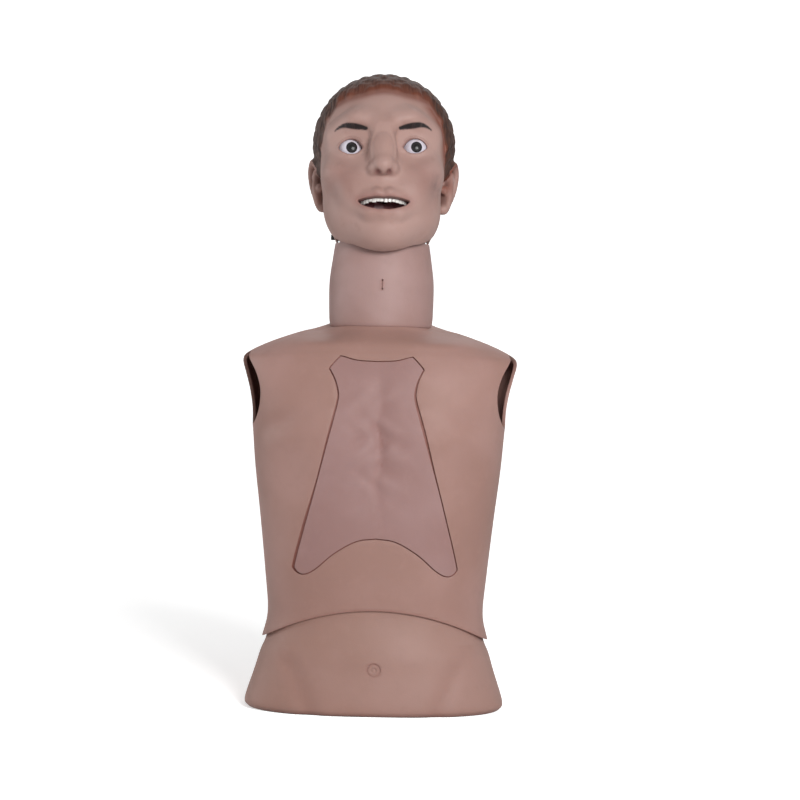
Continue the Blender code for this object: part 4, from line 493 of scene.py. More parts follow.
hip_rings = np.array([oval(*row, 220) for row in smooth_path(hip_rows, 9)])
x, y, z = hip_rings[..., 0], hip_rings[..., 1], hip_rings[..., 2]
front = np.clip(-y / (0.6 * HIP_FRONT), 0, 1)
fold = groin_fold(x, z)
fade = np.clip((0.9 * hem_edge - z) / 0.02, 0, 1)
y += front * fade * (0.0036 * np.exp(-(fold / 0.013) ** 2)
                     + 0.004 * (fold > 0) * (1 - np.exp(-(fold / 0.03) ** 2)))
body = object_from("hips_and_belly", closed_stack("hips_and_belly", hip_rings))
hollow = sunk(np.array([oval(*row, 64) for row in smooth_path(hip_rows, 2)]), WALL)
hollow = hollow[hollow[:, 0, 2] > 0.0133]
hollow[0, :, 2], hollow[-1, :, 2] = 0.0093, 0.165
foot = [v - FOOT_ROUND - WALL for v in (HIP_HALF, HIP_FRONT, HIP_BACK)]
seat = [oval(h, *foot, 2.7, 96) for h in (-0.01, 0.0053)]
hatch = [oval(h, *(v - 0.016 for v in foot), 2.7, 96) for h in (-0.02, 0.02)]
cut(body, closed_stack("hollow", hollow), closed_stack("seat", seat), closed_stack("hatch", hatch))
navel_front = hip_rings[np.abs(z[:, 0] - NAVEL_HEIGHT).argmin(), :, 1].min()
for radius, depth in ((NAVEL_RADIUS + 0.0009, 0.0009), (NAVEL_PIP, 0.0006)):
    ring = object_from("ring", rod_mesh((0, navel_front - 0.01, NAVEL_HEIGHT),
                                        (0, navel_front + depth, NAVEL_HEIGHT), radius, 48))
    cut(ring, rod_mesh((0, navel_front - 0.02, NAVEL_HEIGHT), (0, navel_front + 0.01, NAVEL_HEIGHT),
                       radius - NAVEL_LINE, 48))
    cut(body, ring.data)
    bpy.data.objects.remove(ring)
soften(body, 0.0004)
# Painted shade: darker in the navel's groove, along the groin folds, and along the lower edge where the foot
# meets the floor.
x, y, z = points_of(body.data)
reach = np.hypot(x, z - NAVEL_HEIGHT)
groove = np.exp(-((reach - NAVEL_RADIUS) / 0.0010) ** 2) * (y < -0.05)
fold = groin_fold(x, z)
marks(body.data, shade=np.clip(0.45 * groove + 0.10 * np.exp(-(fold / 0.014) ** 2) * (y < 0) * (z < 0.08)
                               + 0.55 * np.exp(-np.clip(z - 0.001, 0, 1) / 0.0016), 0, 0.8))
belly_vinyl = vinyl("belly_vinyl", linear(164, 129, 119), linear(169, 135, 126), linear(152, 117, 105))
body.data.materials.append(belly_vinyl)
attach(body, "torso")
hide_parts("lower_body_shell")


# The aluminium column carries the shoulder plate and the organ tray of white plastic. Behind
# the chest plate hang the foam lungs, the ribbed windpipe with its fork, the gullet and the
# stomach, all of coloured rubber or foam.
LUMP_WAVES = 40.0


def softened_copy(node, name, levels, lumps):
    """A finer, smoother copy of a CAD node, with slight lumps in it."""
    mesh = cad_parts[node].data.copy()
    work = bmesh.new()
    work.from_mesh(mesh)
    bmesh.ops.remove_doubles(work, verts=work.verts, dist=0.00002)
    work.to_mesh(mesh)
    work.free()
    made = object_from(name, mesh)
    if levels:
        step = made.modifiers.new("Finer", "SUBSURF")
        step.levels = step.render_levels = levels
        baked(made)
    if lumps:
        x, y, z = points_of(made.data)
        normals = np.empty(len(made.data.vertices) * 3)
        made.data.vertices.foreach_get("normal", normals)
        wave = np.sin(LUMP_WAVES * 2.1 * x + 1.3) * np.sin(LUMP_WAVES * 1.7 * z + 0.4)
        wave = (wave + np.sin(LUMP_WAVES * 3.1 * y + 0.9 * LUMP_WAVES * z)) / 2
        moved = np.column_stack([x, y, z]) + lumps * (wave - 1)[:, None] * normals.reshape(-1, 3)
        made.data.vertices.foreach_set("co", moved.ravel())
    made.data.shade_smooth()
    return made


dress("spine_column", moulded("column_aluminium_finish", (0.70, 0.70, 0.71), 0.36, 0.05, 1.0))
dress("organ_tray", moulded("tray_plastic_finish", (0.62, 0.61, 0.58), 0.45))
organ_looks = {"lung_right": ("lung_foam_finish", (0.52, 0.19, 0.18), 0.62, 1, 0.0005, "lung_foam"),
               "lung_left": ("lung_foam_finish", (0.52, 0.19, 0.18), 0.62, 1, 0.0005, "lung_foam"),
               "stomach": ("stomach_rubber_finish", (0.60, 0.30, 0.22), 0.42, 1, 0.0, "stomach_rubber"),
               "bronchi": ("airway_rubber_finish", (0.62, 0.36, 0.30), 0.45, 0, 0.0, "airway_rubber")}
made_looks = {}
for node, (look, colour, roughness, levels, lumps, slot) in organ_looks.items():
    organ = softened_copy(node, node + "_soft", levels, lumps)
    made_looks.setdefault(look, moulded(look, colour, roughness, 0.22))
    organ.data.materials.clear()
    organ.data.materials.append(made_looks[look])
    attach(organ, "torso")
    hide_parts(node)
for node in ("trachea", "oesophagus", "larynx"):
    dress(node, made_looks["airway_rubber_finish"])


# The neck: a stiff dark core under a soft sleeve of vinyl, which ends in a clean edge on the
# chest. In front the sleeve has a short upright slit with round ends, the way into the
# windpipe. The skin-coloured collar turns in the core and carries the head on two black pins.
rubber = moulded("socket_rubber_finish", (0.30, 0.15, 0.12), 0.65, 0.12)
dress("stoma_tube", rubber)
pin_black = moulded("black_pin_finish", (0.012, 0.012, 0.012), 0.38, 0.05)
dress("pivot_pin_right", pin_black)
dress("pivot_pin_left", pin_black)

PIVOT = 0.5475
NECK_TOP, NECK_MIDDLE, SLEEVE = 0.055, 0.061, 0.0025
SLIT_HEIGHT, SLIT_HALF, SLIT_SIDE, SLIT_WIDE, SLIT_END = 0.4905, 0.0050, 0.0015, 0.0004, 0.0011
top = PIVOT - 0.0072
middle = (COLLAR + top) / 2
neck_rows = [
    (COLLAR - 0.030, NECK_MIDDLE - 0.0045, NECK_MIDDLE - 0.007, NECK_MIDDLE - 0.0035, 2.0),
    (COLLAR - 0.010, NECK_MIDDLE - 0.0040, NECK_MIDDLE - 0.0065, NECK_MIDDLE - 0.0035, 2.0),
    (COLLAR - 0.003, NECK_MIDDLE - 0.0015, NECK_MIDDLE - 0.004, NECK_MIDDLE - 0.001, 2.0),
    (COLLAR + 0.010, NECK_MIDDLE - 0.0003, NECK_MIDDLE - 0.003, NECK_MIDDLE, 2.0),
    (middle, NECK_MIDDLE, NECK_MIDDLE - 0.0015, NECK_MIDDLE - 0.001, 2.0),
    (0.35 * middle + 0.65 * top, *(0.4 * NECK_MIDDLE + 0.6 * NECK_TOP,) * 3, 2.0),
    (top, NECK_TOP, NECK_TOP, NECK_TOP, 2.0)]
neck_rings = np.array([oval(*row, 160) for row in smooth_path(neck_rows, 12)])
neck = object_from("neck_sleeve", closed_stack("neck_sleeve", neck_rings))
bore = sunk(neck_rings[::6, ::2], SLEEVE)
bore[0, :, 2] -= 0.02
bore[-1, :, 2] += 0.02


def chest_relief(x, z):
    """How far the modelled muscles and bones stand forward of the plain oval section."""
    def swell(centre_x, centre_z, wide, tall, height):
        return height * np.exp(-((np.abs(x) - centre_x) / wide) ** 2 - ((z - centre_z) / tall) ** 2)

    side = np.clip((np.abs(x) - 0.075) / 0.03, 0, 1)
    fold = z - 0.339 + 0.40 * (np.abs(x) - 0.092)
    folds = side * (0.0018 * np.exp(-((fold + 0.020) / 0.012) ** 2) - 0.0034 * np.exp(-(fold / 0.011) ** 2))
    return folds + sum(swell(*row) for row in (
        (0.099, 0.276, 0.018, 0.026, -0.0028), (0.072, ARMPIT - 0.012, 0.045, 0.040, 0.0055),
        (0.070, COLLAR - 0.028, 0.045, 0.007, 0.0018), (0.0, COLLAR - 0.016, 0.014, 0.010, -0.0015),
        (0.0, ARMPIT - 0.010, 0.014, 0.060, -0.0020), (0.060, WAIST_HEIGHT + 0.110, 0.050, 0.035, 0.0015)))


def chest_rings(per_gap, count):
    rings = np.array([oval(*row, count) for row in smooth_path(chest_rows, per_gap)])
    x, y, z = rings[..., 0], rings[..., 1], rings[..., 2]
    rings[..., 1] -= chest_relief(x, z) * np.clip(-y / (0.6 * CHEST_FRONT), 0, 1)
    beside = np.exp(-((np.abs(x) - NECK_MIDDLE) / 0.024) ** 2) * np.clip((0.014 - y) / 0.028, 0, 1)
    rings[..., 2] -= 0.0065 * beside * np.clip((z - COLLAR + 0.026) / 0.020, 0, 1)
    return rings


cut(neck, closed_stack("bore", bore), closed_stack("collar", sunk(chest_rings(4, 96), -0.0005)))
soften(neck, 0.0008, 3)
slit_ends = (SLIT_HEIGHT - SLIT_HALF, SLIT_HEIGHT + SLIT_HALF)
cut(neck, box_mesh((SLIT_SIDE - SLIT_WIDE / 2, -0.09, slit_ends[0]),
                   (SLIT_SIDE + SLIT_WIDE / 2, -0.03, slit_ends[1])),
    *(rod_mesh((SLIT_SIDE, -0.09, end), (SLIT_SIDE, -0.03, end), SLIT_END, 16) for end in slit_ends))
neck.data.set_sharp_from_angle(angle=SHARP_FOLD)
x, y, z = points_of(neck.data)
# Painted shade: darker round the slit, and over the inside of the bore.
slit = np.hypot(x - SLIT_SIDE, np.clip(np.abs(z - SLIT_HEIGHT) - SLIT_HALF, 0, 1))
shade = 0.6 * np.exp(-(slit / 0.0016) ** 2) * (y < 0) + 0.75 * (np.hypot(x, y) < NECK_HOLE)
marks(neck.data, shade=np.clip(shade, 0, 1))
neck_vinyl = vinyl("neck_vinyl", linear(166, 135, 130), linear(172, 142, 138), linear(146, 112, 104))
neck.data.materials.append(neck_vinyl)
dress("swivel_ring", neck_vinyl)
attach(neck, "torso")
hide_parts("neck_skin")


# The chest is a vest-like shell of skin-coloured vinyl. It has two round arm openings, a neck
# hole, an arched hem that overlaps the hips, and in front a bell-shaped seat, a plate's
# thickness deep, with a window to the organs.
PLATE_TOP, PLATE_DEEP, LEDGE = 0.4013, 0.0030, 0.0032


def front_depth(x, z):
    """The y of the chest's outer surface at the front."""
    half_width, front, _, squareness = chest_sizes(z)
    y = -front * np.clip(1 - (np.abs(x) / half_width) ** squareness, 0, 1) ** (1 / squareness)
    return y - chest_relief(x, z) * np.clip(-y / (0.6 * CHEST_FRONT), 0, 1)


def turned_out(mesh):
    """The mesh with its faces turned outwards."""
    work = bmesh.new()
    work.from_mesh(mesh)
    bmesh.ops.recalc_face_normals(work, faces=work.faces)
    work.to_mesh(mesh)
    work.free()
    return mesh


def front_slab(half_width, low, high, outer, inner, spacing, relief=None):
    """A slab that follows the front of the chest, between two depths behind its surface."""
    across = np.linspace(-half_width, half_width, 2 * round(half_width / spacing) + 1)
    up = np.linspace(low, high, round((high - low) / spacing) + 1)
    x, z = np.meshgrid(across, up)
    y = front_depth(x, z)
    raised = relief(x, z) if relief else 0 * x
    rows, count = x.shape
    points = np.concatenate([np.stack([x, y + outer - raised, z], axis=2).reshape(-1, 3),
                             np.stack([x, y + inner, z], axis=2).reshape(-1, 3)])
    i, j = np.meshgrid(np.arange(rows - 1), np.arange(count - 1), indexing="ij")
    a = (i * count + j).ravel()
    sheet = np.stack([a, a + 1, a + count + 1, a + count], axis=1)
    faces = sheet.tolist() + (sheet[:, ::-1] + rows * count).tolist()
    bottom, far = np.arange(count), (rows - 1) * count + np.arange(count)
    left, right = np.arange(rows) * count, np.arange(rows) * count + count - 1
    for edge, flip in ((bottom, True), (far, False), (left, False), (right, True)):
        for p, q in zip(edge, edge[1:]):
            quad = [p, q, q + rows * count, p + rows * count]
            faces.append([int(v) for v in (quad[::-1] if flip else quad)])
    mesh = bpy.data.meshes.new("slab")
    mesh.from_pydata(points.tolist(), [], faces)
    return turned_out(mesh)


def prism(outline, near, far):
    """A flat outline of (x, z) points drawn out along Y."""
    return turned_out(closed_stack("prism", [[(x, y, z) for x, z in outline] for y in (near, far)]))


def mirrored(half):
    """An outline made whole from the half at +X."""
    half = [tuple(point) for point in half]
    return half + [(-x, z) for x, z in half[::-1] if abs(x) > 0.00001]


def widened(outline, distance):
    """The outline moved outwards by a distance."""
    points = np.array(outline)
    ahead = np.roll(points, -1, axis=0) - points
    ahead /= np.linalg.norm(ahead, axis=1, keepdims=True)
    along = ahead + np.roll(ahead, 1, axis=0)
    along /= np.linalg.norm(along, axis=1, keepdims=True)
    return [tuple(p) for p in points + np.column_stack([-along[:, 1], along[:, 0]]) * distance]


plate_half = [(0, 0), (0.022, 0.0012), (0.0385, 0.0054), (0.0420, 0.0044), (0.0518, -0.0068),
              (0.0512, -0.0100), (0.0462, -0.020), (0.0428, -0.032), (0.0426, -0.042), (0.0470, -0.061),
              (0.0573, -0.099), (0.0758, -0.168), (0.0904, -0.2255), (0.0905, -0.236), (0.0820, -0.241),
              (0.0690, -0.235), (0.0477, -0.2165), (0.0225, -0.202), (0, -0.1985)]
window_half = [(0, 0), (0.026, 0), (0.0300, -0.006), (0.0290, -0.028), (0.0350, -0.060), (0.0470, -0.105),
               (0.0600, -0.150), (0.0640, -0.166), (0.0590, -0.174), (0.030, -0.1745), (0, -0.1745)]
PLATE_LEAN = 0.0030
plate_edge = [(x - PLATE_LEAN * min(1, max(0, 1 + z / 0.15)), z + PLATE_TOP)
              for x, z in mirrored(smooth_path(plate_half, 6))]
window_edge = [(x - PLATE_LEAN / 2, z + PLATE_TOP - 0.010) for x, z in mirrored(smooth_path(window_half, 4))]

chest = object_from("chest_vest", closed_stack("chest_vest", chest_rings(9, 220)))
hollow = sunk(chest_rings(2, 64), WALL)
hollow[-1, :, 2] = COLLAR + 0.006 - WALL
cut(chest, closed_stack("hollow", hollow))
low, high = PLATE_TOP - 0.260, PLATE_TOP + 0.020
ledge = object_from("ledge", front_slab(0.104, low, high, WALL - 0.0012, PLATE_DEEP + LEDGE, 0.006))
cut(ledge, prism(widened(plate_edge, 0.005), -0.14, 0), operation="INTERSECT")
recess = object_from("recess", front_slab(0.100, low, high, -0.02, PLATE_DEEP, 0.006))
seat_edge = []
for x, z in widened(plate_edge, 0.0013):
    waist = math.exp(-((PLATE_TOP - 0.070 - z) / 0.045) ** 2)
    left_side = min(1, max(0, (-x - 0.035 - 0.26 * (PLATE_TOP - 0.061 - z)) / 0.012))
    low_down = min(1, max(0, (PLATE_TOP - 0.13 - z) / 0.05))
    seat_edge.append((x + (0.0005 + math.copysign(0.0018, x)) * waist - 0.0020 * left_side * low_down, z))
cut(recess, prism(seat_edge, -0.14, 0), operation="INTERSECT")
cut(chest, ledge.data, operation="UNION")
cut(chest, recess.data, prism(window_edge, -0.14, 0))
bpy.data.objects.remove(ledge)
bpy.data.objects.remove(recess)
peg_places = [(side * x, float(front_depth(np.array(side * x), np.array(z))), z)
              for x, z in ((0.0405, 0.391), (0.0795, 0.1765)) for side in (-1, 1)]
for x, y, z in peg_places:
    cut(chest, rod_mesh((x, y - 0.01, z), (x, y + 0.02, z), 0.0044))
ARM_HEIGHT, ARM_FORWARD = (SHOULDER + ARMPIT) / 2 + 0.001, 0.0195
for side in (-1, 1):
    near, far = ((side * x, -ARM_FORWARD, ARM_HEIGHT) for x in (0.095, 0.225))
    cut(chest, rod_mesh(near, far, 1, 96, squash=(0.0420, 0.0425)))
cut(chest, rod_mesh((0, 0, COLLAR - 0.05), (0, 0, COLLAR + 0.05), NECK_HOLE, 64))
rise, half = HEM_DROP + HEM_RISE, WAIST_HALF + HEM_FLARE
hem_radius = (half ** 2 + rise ** 2) / (2 * rise)
hem_middle = WAIST_HEIGHT + HEM_RISE - hem_radius
cut(chest, rod_mesh((0, -0.3, hem_middle), (0, 0.3, hem_middle), hem_radius, 400))
soften(chest, 0.0008)
x, y, z = points_of(chest.data)
# Painted shade: a dark line along the hem's edge, the seat and window behind the plate, and the inner walls
# seen through the arm openings.
hem = np.hypot(x, z - hem_middle) - hem_radius
inside = (front_depth(x, z) + 0.0012 < y) & (y < 0) & (np.abs(x) < 0.105) & (z < 0.42) & (z > 0.15)
half_width, front, back, power = chest_sizes(z)
out = (np.abs(x) / half_width) ** power + (np.abs(y) / np.where(y < 0, front, back)) ** power
inner_wall_shade = np.clip((0.984 - out ** (1 / power)) / 0.010, 0, 1) * (np.abs(x) > 0.09)
shade = 0.35 * np.exp(-(hem / 0.0016) ** 2) + 0.75 * inside + 0.30 * inner_wall_shade
marks(chest.data, shade=np.clip(shade, 0, 0.85))
chest_vinyl = vinyl("chest_vinyl", linear(165, 129, 120), linear(170, 134, 126), linear(150, 114, 103))
chest.data.materials.append(chest_vinyl)
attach(chest, "torso")
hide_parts("chest_shell")


# The chest plate is a loose panel of the same vinyl, a shade more purple. Ribs and breastbone
# are moulded in it, its edge is rounded, and four pegs on its back press into rubber sockets.
def plate_relief(x, z):
    """How far the ribs and folds of the plate stand forward."""
    ribs = 0.0010 * np.cos((z - 0.30 + 0.35 * np.abs(x)) * 2 * np.pi / 0.034)
    groove = np.exp(-((x - 0.002 - 0.003 * np.sin(z * 90)) / 0.0055) ** 2 - ((z - 0.300) / 0.055) ** 2)
    folds = np.sin(x * 210 + 3.2 * np.sin(z * 95)) * np.exp(-(x / 0.03) ** 2 - ((z - 0.31) / 0.05) ** 2)
    rib_zone = np.exp(-((np.abs(x) - 0.022) / 0.016) ** 2 - ((z - 0.305) / 0.06) ** 2)
    top_swell = np.exp(-((np.abs(x) - 0.020) / 0.018) ** 2 - ((z - 0.375) / 0.012) ** 2)
    return ribs * rib_zone - 0.0018 * groove + 0.0009 * folds + 0.0012 * top_swell


plate = object_from("chest_plate_skin",
                    front_slab(0.100, low, high, 0.0, PLATE_DEEP - 0.0003, 0.0025, plate_relief))
cut(plate, prism(plate_edge, -0.14, 0), operation="INTERSECT")
soften(plate, 0.0011, 3)
for x, y, z in peg_places:
    cut(plate, rod_mesh((x, y + 0.0015, z), (x, y + PLATE_DEEP + 0.0058, z), 0.0020, 20), operation="UNION")
plate.data.shade_smooth()
plate.data.set_sharp_from_angle(angle=SHARP_FOLD)
x, y, z = points_of(plate.data)
# Painted shade: darker in the moulded hollows, and on the back of the plate and its pegs.
hollow_shade = np.clip(-plate_relief(x, z) / 0.001, 0, 1)
marks(plate.data, shade=0.10 * hollow_shade + 0.25 * (y > front_depth(x, z) + 0.0022))
plate_vinyl = vinyl("plate_vinyl", linear(160, 127, 123), linear(167, 135, 133), linear(148, 112, 107))
plate.data.materials.append(plate_vinyl)
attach(plate, "chest_cover")
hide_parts("chest_plate")
for i in range(1, 5):
    dress(f"plate_socket_{i}", rubber)


# The head is one hollow moulding of soft vinyl with hair, ears, brow and lips modelled in it,
# painted after moulding: brown hair with a rusty edge, black brows and red lips, with dark red
# painted shade round the lids and in the nostrils and ears, and near-black painted shade inside.
# It is built from the point midway between the ears, then tilted back and turned.
class Clay:
    """A block of sample points that holds the signed distance to a surface of soft lumps."""

    def __init__(self, low, high, cell):
        self.cell = cell
        self.axes = [np.arange(a, b + cell, cell) for a, b in zip(low, high)]
        self.field = np.full([len(axis) for axis in self.axes], 0.05, np.float32)

    def near(self, low, high):
        cuts = tuple(slice(*np.searchsorted(axis, (a, b))) for axis, a, b in zip(self.axes, low, high))
        return cuts, np.meshgrid(*(axis[c] for axis, c in zip(self.axes, cuts)), indexing="ij", sparse=True)

    def blend(self, cuts, distance, soft, carve):
        old = self.field[cuts]
        if carve:
            distance = -distance
            mix = np.clip(0.5 - 0.5 * (distance - old) / soft, 0, 1)
            self.field[cuts] = distance + (old - distance) * mix + soft * mix * (1 - mix)
        else:
            mix = np.clip(0.5 + 0.5 * (old - distance) / soft, 0, 1)
            self.field[cuts] = old + (distance - old) * mix - soft * mix * (1 - mix)

    def lump(self, centre, radii, soft=0.006, turn=(0, 0, 0), carve=False):
        centre, radii = np.array(centre), np.array(radii)
        reach = (radii.max() if any(turn) else radii) + soft + 2 * self.cell
        cuts, points = self.near(centre - reach, centre + reach)
        offset = [p - c for p, c in zip(points, centre)]
        rows = np.array(Euler(turn).to_matrix().transposed())
        local = [sum(r * o for r, o in zip(row, offset)) for row in rows]
        k0 = np.sqrt(sum((p / r) ** 2 for p, r in zip(local, radii)))
        k1 = np.sqrt(sum((p / r ** 2) ** 2 for p, r in zip(local, radii)))
        self.blend(cuts, k0 * (k0 - 1) / np.maximum(k1, 1e-6), soft, carve)

    def roll(self, points, radii, soft=0.004, carve=False):
        points = np.array(points, float)
        for start, end, r0, r1 in zip(points, points[1:], radii, radii[1:]):
            reach = max(r0, r1) + soft + 2 * self.cell
            cuts, grid = self.near(np.minimum(start, end) - reach, np.maximum(start, end) + reach)
            axis = end - start
            offset = [p - c for p, c in zip(grid, start)]
            share = np.clip(sum(o * a for o, a in zip(offset, axis)) / axis.dot(axis), 0, 1)
            gap = np.sqrt(sum((o - share * a) ** 2 for o, a in zip(offset, axis)))
            self.blend(cuts, gap - (r0 + (r1 - r0) * share), soft, carve)

    def window(self, outline, near, far):
        """Carves a flat (x, z) outline, drawn out along Y from near to far."""
        outline = np.array(outline)
        low, high = outline.min(0) - 0.004, outline.max(0) + 0.004
        cuts, (x, y, z) = self.near((low[0], near - 0.003, low[1]), (high[0], far + 0.003, high[1]))
        gap = outline_gap(*np.broadcast_arrays(x[:, 0, :], z[:, 0, :]), outline)
        self.blend(cuts, np.maximum(gap[:, None, :], np.maximum(near - y, y - far)), 0.0008, True)

    def skin(self, name):
        """The zero surface as a closed mesh: one point for each cell that the surface crosses."""
        field = np.concatenate([self.field[:0:-1], self.field]).astype(float)
        low = np.array([-self.axes[0][-1], self.axes[1][0], self.axes[2][0]])
        shape = tuple(n - 1 for n in field.shape)
        total, count, crossings = np.zeros(shape + (3,), np.float32), np.zeros(shape, np.float32), []
        for axis in range(3):
            before = field[tuple(slice(0, -1) if d == axis else slice(None) for d in range(3))]
            after = field[tuple(slice(1, None) if d == axis else slice(None) for d in range(3))]
            crosses = (before < 0) != (after < 0)
            share = np.where(crosses, before / np.where(crosses, before - after, 1), 0)
            crossings.append((crosses, before < 0))
            p, q = [d for d in range(3) if d != axis]
            for op in (0, 1):
                for oq in (0, 1):
                    pick = [slice(None)] * 3
                    pick[p] = slice(op, op + shape[p])
                    pick[q] = slice(oq, oq + shape[q])
                    here = crosses[tuple(pick)]
                    total[..., axis] += share[tuple(pick)] * here
                    total[..., p] += here * op
                    total[..., q] += here * oq
                    count += here
        used = count > 0
        index = np.full(shape, -1)
        index[used] = np.arange(used.sum())
        points = (np.argwhere(used) + total[used] / count[used][:, None]) * self.cell + low
        faces = []
        for axis, (crosses, starts_inside) in enumerate(crossings):
            unit = np.eye(3, dtype=int)
            u, v = unit[(axis + 1) % 3], unit[(axis + 2) % 3]
            at = np.argwhere(crosses)
            quad = np.stack([index[tuple((at - step).T)] for step in (0 * u, u, u + v, v)], axis=1)
            faces.append(np.where(starts_inside[crosses][:, None], quad, quad[:, ::-1]))
        mesh = bpy.data.meshes.new(name)
        mesh.from_pydata(points.tolist(), [], np.concatenate(faces).tolist())
        return mesh


def beside_edge(x, z, ax, az, bx, bz):
    """How far along an edge a place lies, from 0 to 1, and its distance from the edge."""
    ex, ez = bx - ax, bz - az
    along = np.clip(((x - ax) * ex + (z - az) * ez) / max(ex * ex + ez * ez, 1e-12), 0, 1)
    return along, np.hypot(x - ax - along * ex, z - az - along * ez)


def outline_gap(x, z, outline):
    """The distance to a closed outline, below 0 inside it."""
    outline = np.array(outline)
    gap = np.full(x.shape, 1.0)
    inside = np.zeros(x.shape, bool)
    for (ax, az), (bx, bz) in zip(outline, np.roll(outline, -1, axis=0)):
        gap = np.minimum(gap, beside_edge(x, z, ax, az, bx, bz)[1])
        inside ^= ((az > z) != (bz > z)) & (x < (bx - ax) * (z - az) / (bz - az if bz != az else 1) + ax)
    return np.where(inside, -gap, gap)


EYE, EYE_SIDE, EYE_FORWARD, EYE_UP = 0.0150, 0.0366, 0.0565, 0.0210
MOUTH_HALF, MOUTH_UP, MOUTH_TALL, LIPS = 0.0295, -0.0530, 0.0068, 0.0905
PIVOT_TO_EARS = Vector((0, -0.012, 0.065))
HEAD_TURN, HEAD_TILT, NOD_FORWARD = math.radians(1), math.radians(12), math.radians(15)
pose = (Matrix.Translation((0, 0, PIVOT)) @ Matrix.Rotation(HEAD_TURN, 4, "Z")
        @ Matrix.Rotation(-HEAD_TILT, 4, "X") @ Matrix.Translation(PIVOT_TO_EARS))
HAIR_MIDDLE, HAIR_SIZE = np.array((0, 0.0085, 0.0460)), np.array((0.0785, 0.0930, 0.0785))
SKULL_MIDDLE, SKULL_SIZE = (0, 0.022, 0.036), (0.068, 0.066, 0.078)
BALL_SEAT, PIN_RADIUS, NOD_CLEARANCE = 0.0519, 0.0025, 0.0023
ball = tuple(-PIVOT_TO_EARS)

head_clay = Clay((0, -0.122, -0.130), (0.100, 0.116, 0.146), 0.0013)
lump, roll = head_clay.lump, head_clay.roll
lump((0, 0.004, 0.040), (0.0765, 0.0925, 0.0805), 0.004)
lump((0, -0.026, -0.012), (0.0665, 0.060, 0.080), 0.020)
lump((0, -0.020, -0.050), (0.0640, 0.062, 0.046), 0.016)
lump((0, 0.026, -0.030), (0.062, 0.056, 0.048), 0.016)
lump((0, -0.056, -0.0745), (0.030, 0.027, 0.0225), 0.016)
lump(ball, (0.0555,) * 3, 0.006)
roll([(0.010, -0.0775, 0.040), (0.030, -0.0765, 0.0445), (0.054, -0.054, 0.040)],
     [0.0075, 0.0078, 0.0060], 0.024)
lump((0.0480, -0.052, -0.006), (0.0200, 0.0240, 0.0185), 0.016)
lump((0.0300, -0.066, -0.030), (0.0200, 0.0180, 0.0220), 0.014)
lump((0.0340, -0.0850, 0.0215), (0.0235, 0.0115, 0.0165), 0.024, carve=True)
lump((EYE_SIDE, -EYE_FORWARD, EYE_UP), (EYE + 0.0022,) * 3, 0.005)
roll([(0, -0.083, 0.032), (0, -0.0895, 0.014), (0, -0.0970, -0.006)], [0.0074, 0.0074, 0.0094], 0.020)
lump((0, -0.0985, -0.0110), (0.0105, 0.0105, 0.0095), 0.006)
lump((0.0112, -0.0890, -0.0125), (0.0058, 0.0090, 0.0072), 0.005)
lump((0.0062, -0.1000, -0.0205), (0.0028, 0.0056, 0.0040), 0.0012, carve=True)
lump((0, -0.0700, -0.0420), (0.0300, 0.0190, 0.0270), 0.012)
roll([(0, -LIPS, MOUTH_UP + 0.0105), (0.0070, -LIPS, MOUTH_UP + 0.0118),
      (0.0177, -LIPS + 0.0055, MOUTH_UP + 0.0095), (0.0305, -LIPS + 0.0170, MOUTH_UP + 0.0045)],
     [0.0022, 0.0024, 0.0024, 0.0018], 0.008)
roll([(0, -LIPS + 0.0035, MOUTH_UP - 0.0100), (0.0162, -LIPS + 0.0075, MOUTH_UP - 0.0078),
      (0.0305, -LIPS + 0.0175, MOUTH_UP + 0.0020)], [0.0034, 0.0030, 0.0020], 0.014)
roll([(0, -0.0985, -0.028), (0, -0.0975, -0.038)], [0.0014, 0.0020], 0.004, carve=True)
ear = [(0.0715, -0.004, 0.005), (0.0785, -0.001, 0.019), (0.0830, 0.012, 0.0255), (0.0850, 0.025, 0.017),
       (0.0825, 0.028, 0.000), (0.0765, 0.020, -0.018), (0.0690, 0.004, -0.0315)]
lump((0.0735, 0.012, -0.006), (0.0075, 0.0170, 0.0300), 0.005, turn=(-0.20, 0.10, 0.35))
ear_thickness = [0.0030, 0.0034, 0.0036, 0.0038, 0.0038, 0.0038, 0.0056]
roll(smooth_path(ear, 3), np.interp(np.linspace(0, 6, 19), range(7), ear_thickness), 0.003)
roll([(0.0795, 0.004, 0.012), (0.0810, 0.014, 0.008), (0.0790, 0.018, -0.006)],
     [0.0022, 0.0026, 0.0022], 0.003)
lump((0.0820, 0.009, -0.006), (0.0062, 0.0085, 0.0115), 0.002, carve=True)
lump((0.0715, -0.0045, -0.010), (0.0045, 0.0045, 0.0055), 0.003)
lump(tuple(HAIR_MIDDLE), tuple(HAIR_SIZE + 0.0012), 0.002)


hair_edge = [(0, 0.0850), (8, 0.0840), (18, 0.0810), (32, 0.0800), (45, 0.0765), (52, 0.0640), (60, 0.0470),
             (66, 0.0280), (73, -0.0020), (84, -0.0060), (90, 0.0120), (97, 0.0270), (104, 0.0240),
             (112, -0.0150), (125, -0.0380), (150, -0.0450), (180, -0.0460)]


def hairline(x, y, z):
    """How far a place on the head lies inside the edge of the hair, upwards."""
    around = np.degrees(np.arctan2(np.abs(x), -y))
    return z - np.interp(around, *zip(*hair_edge))


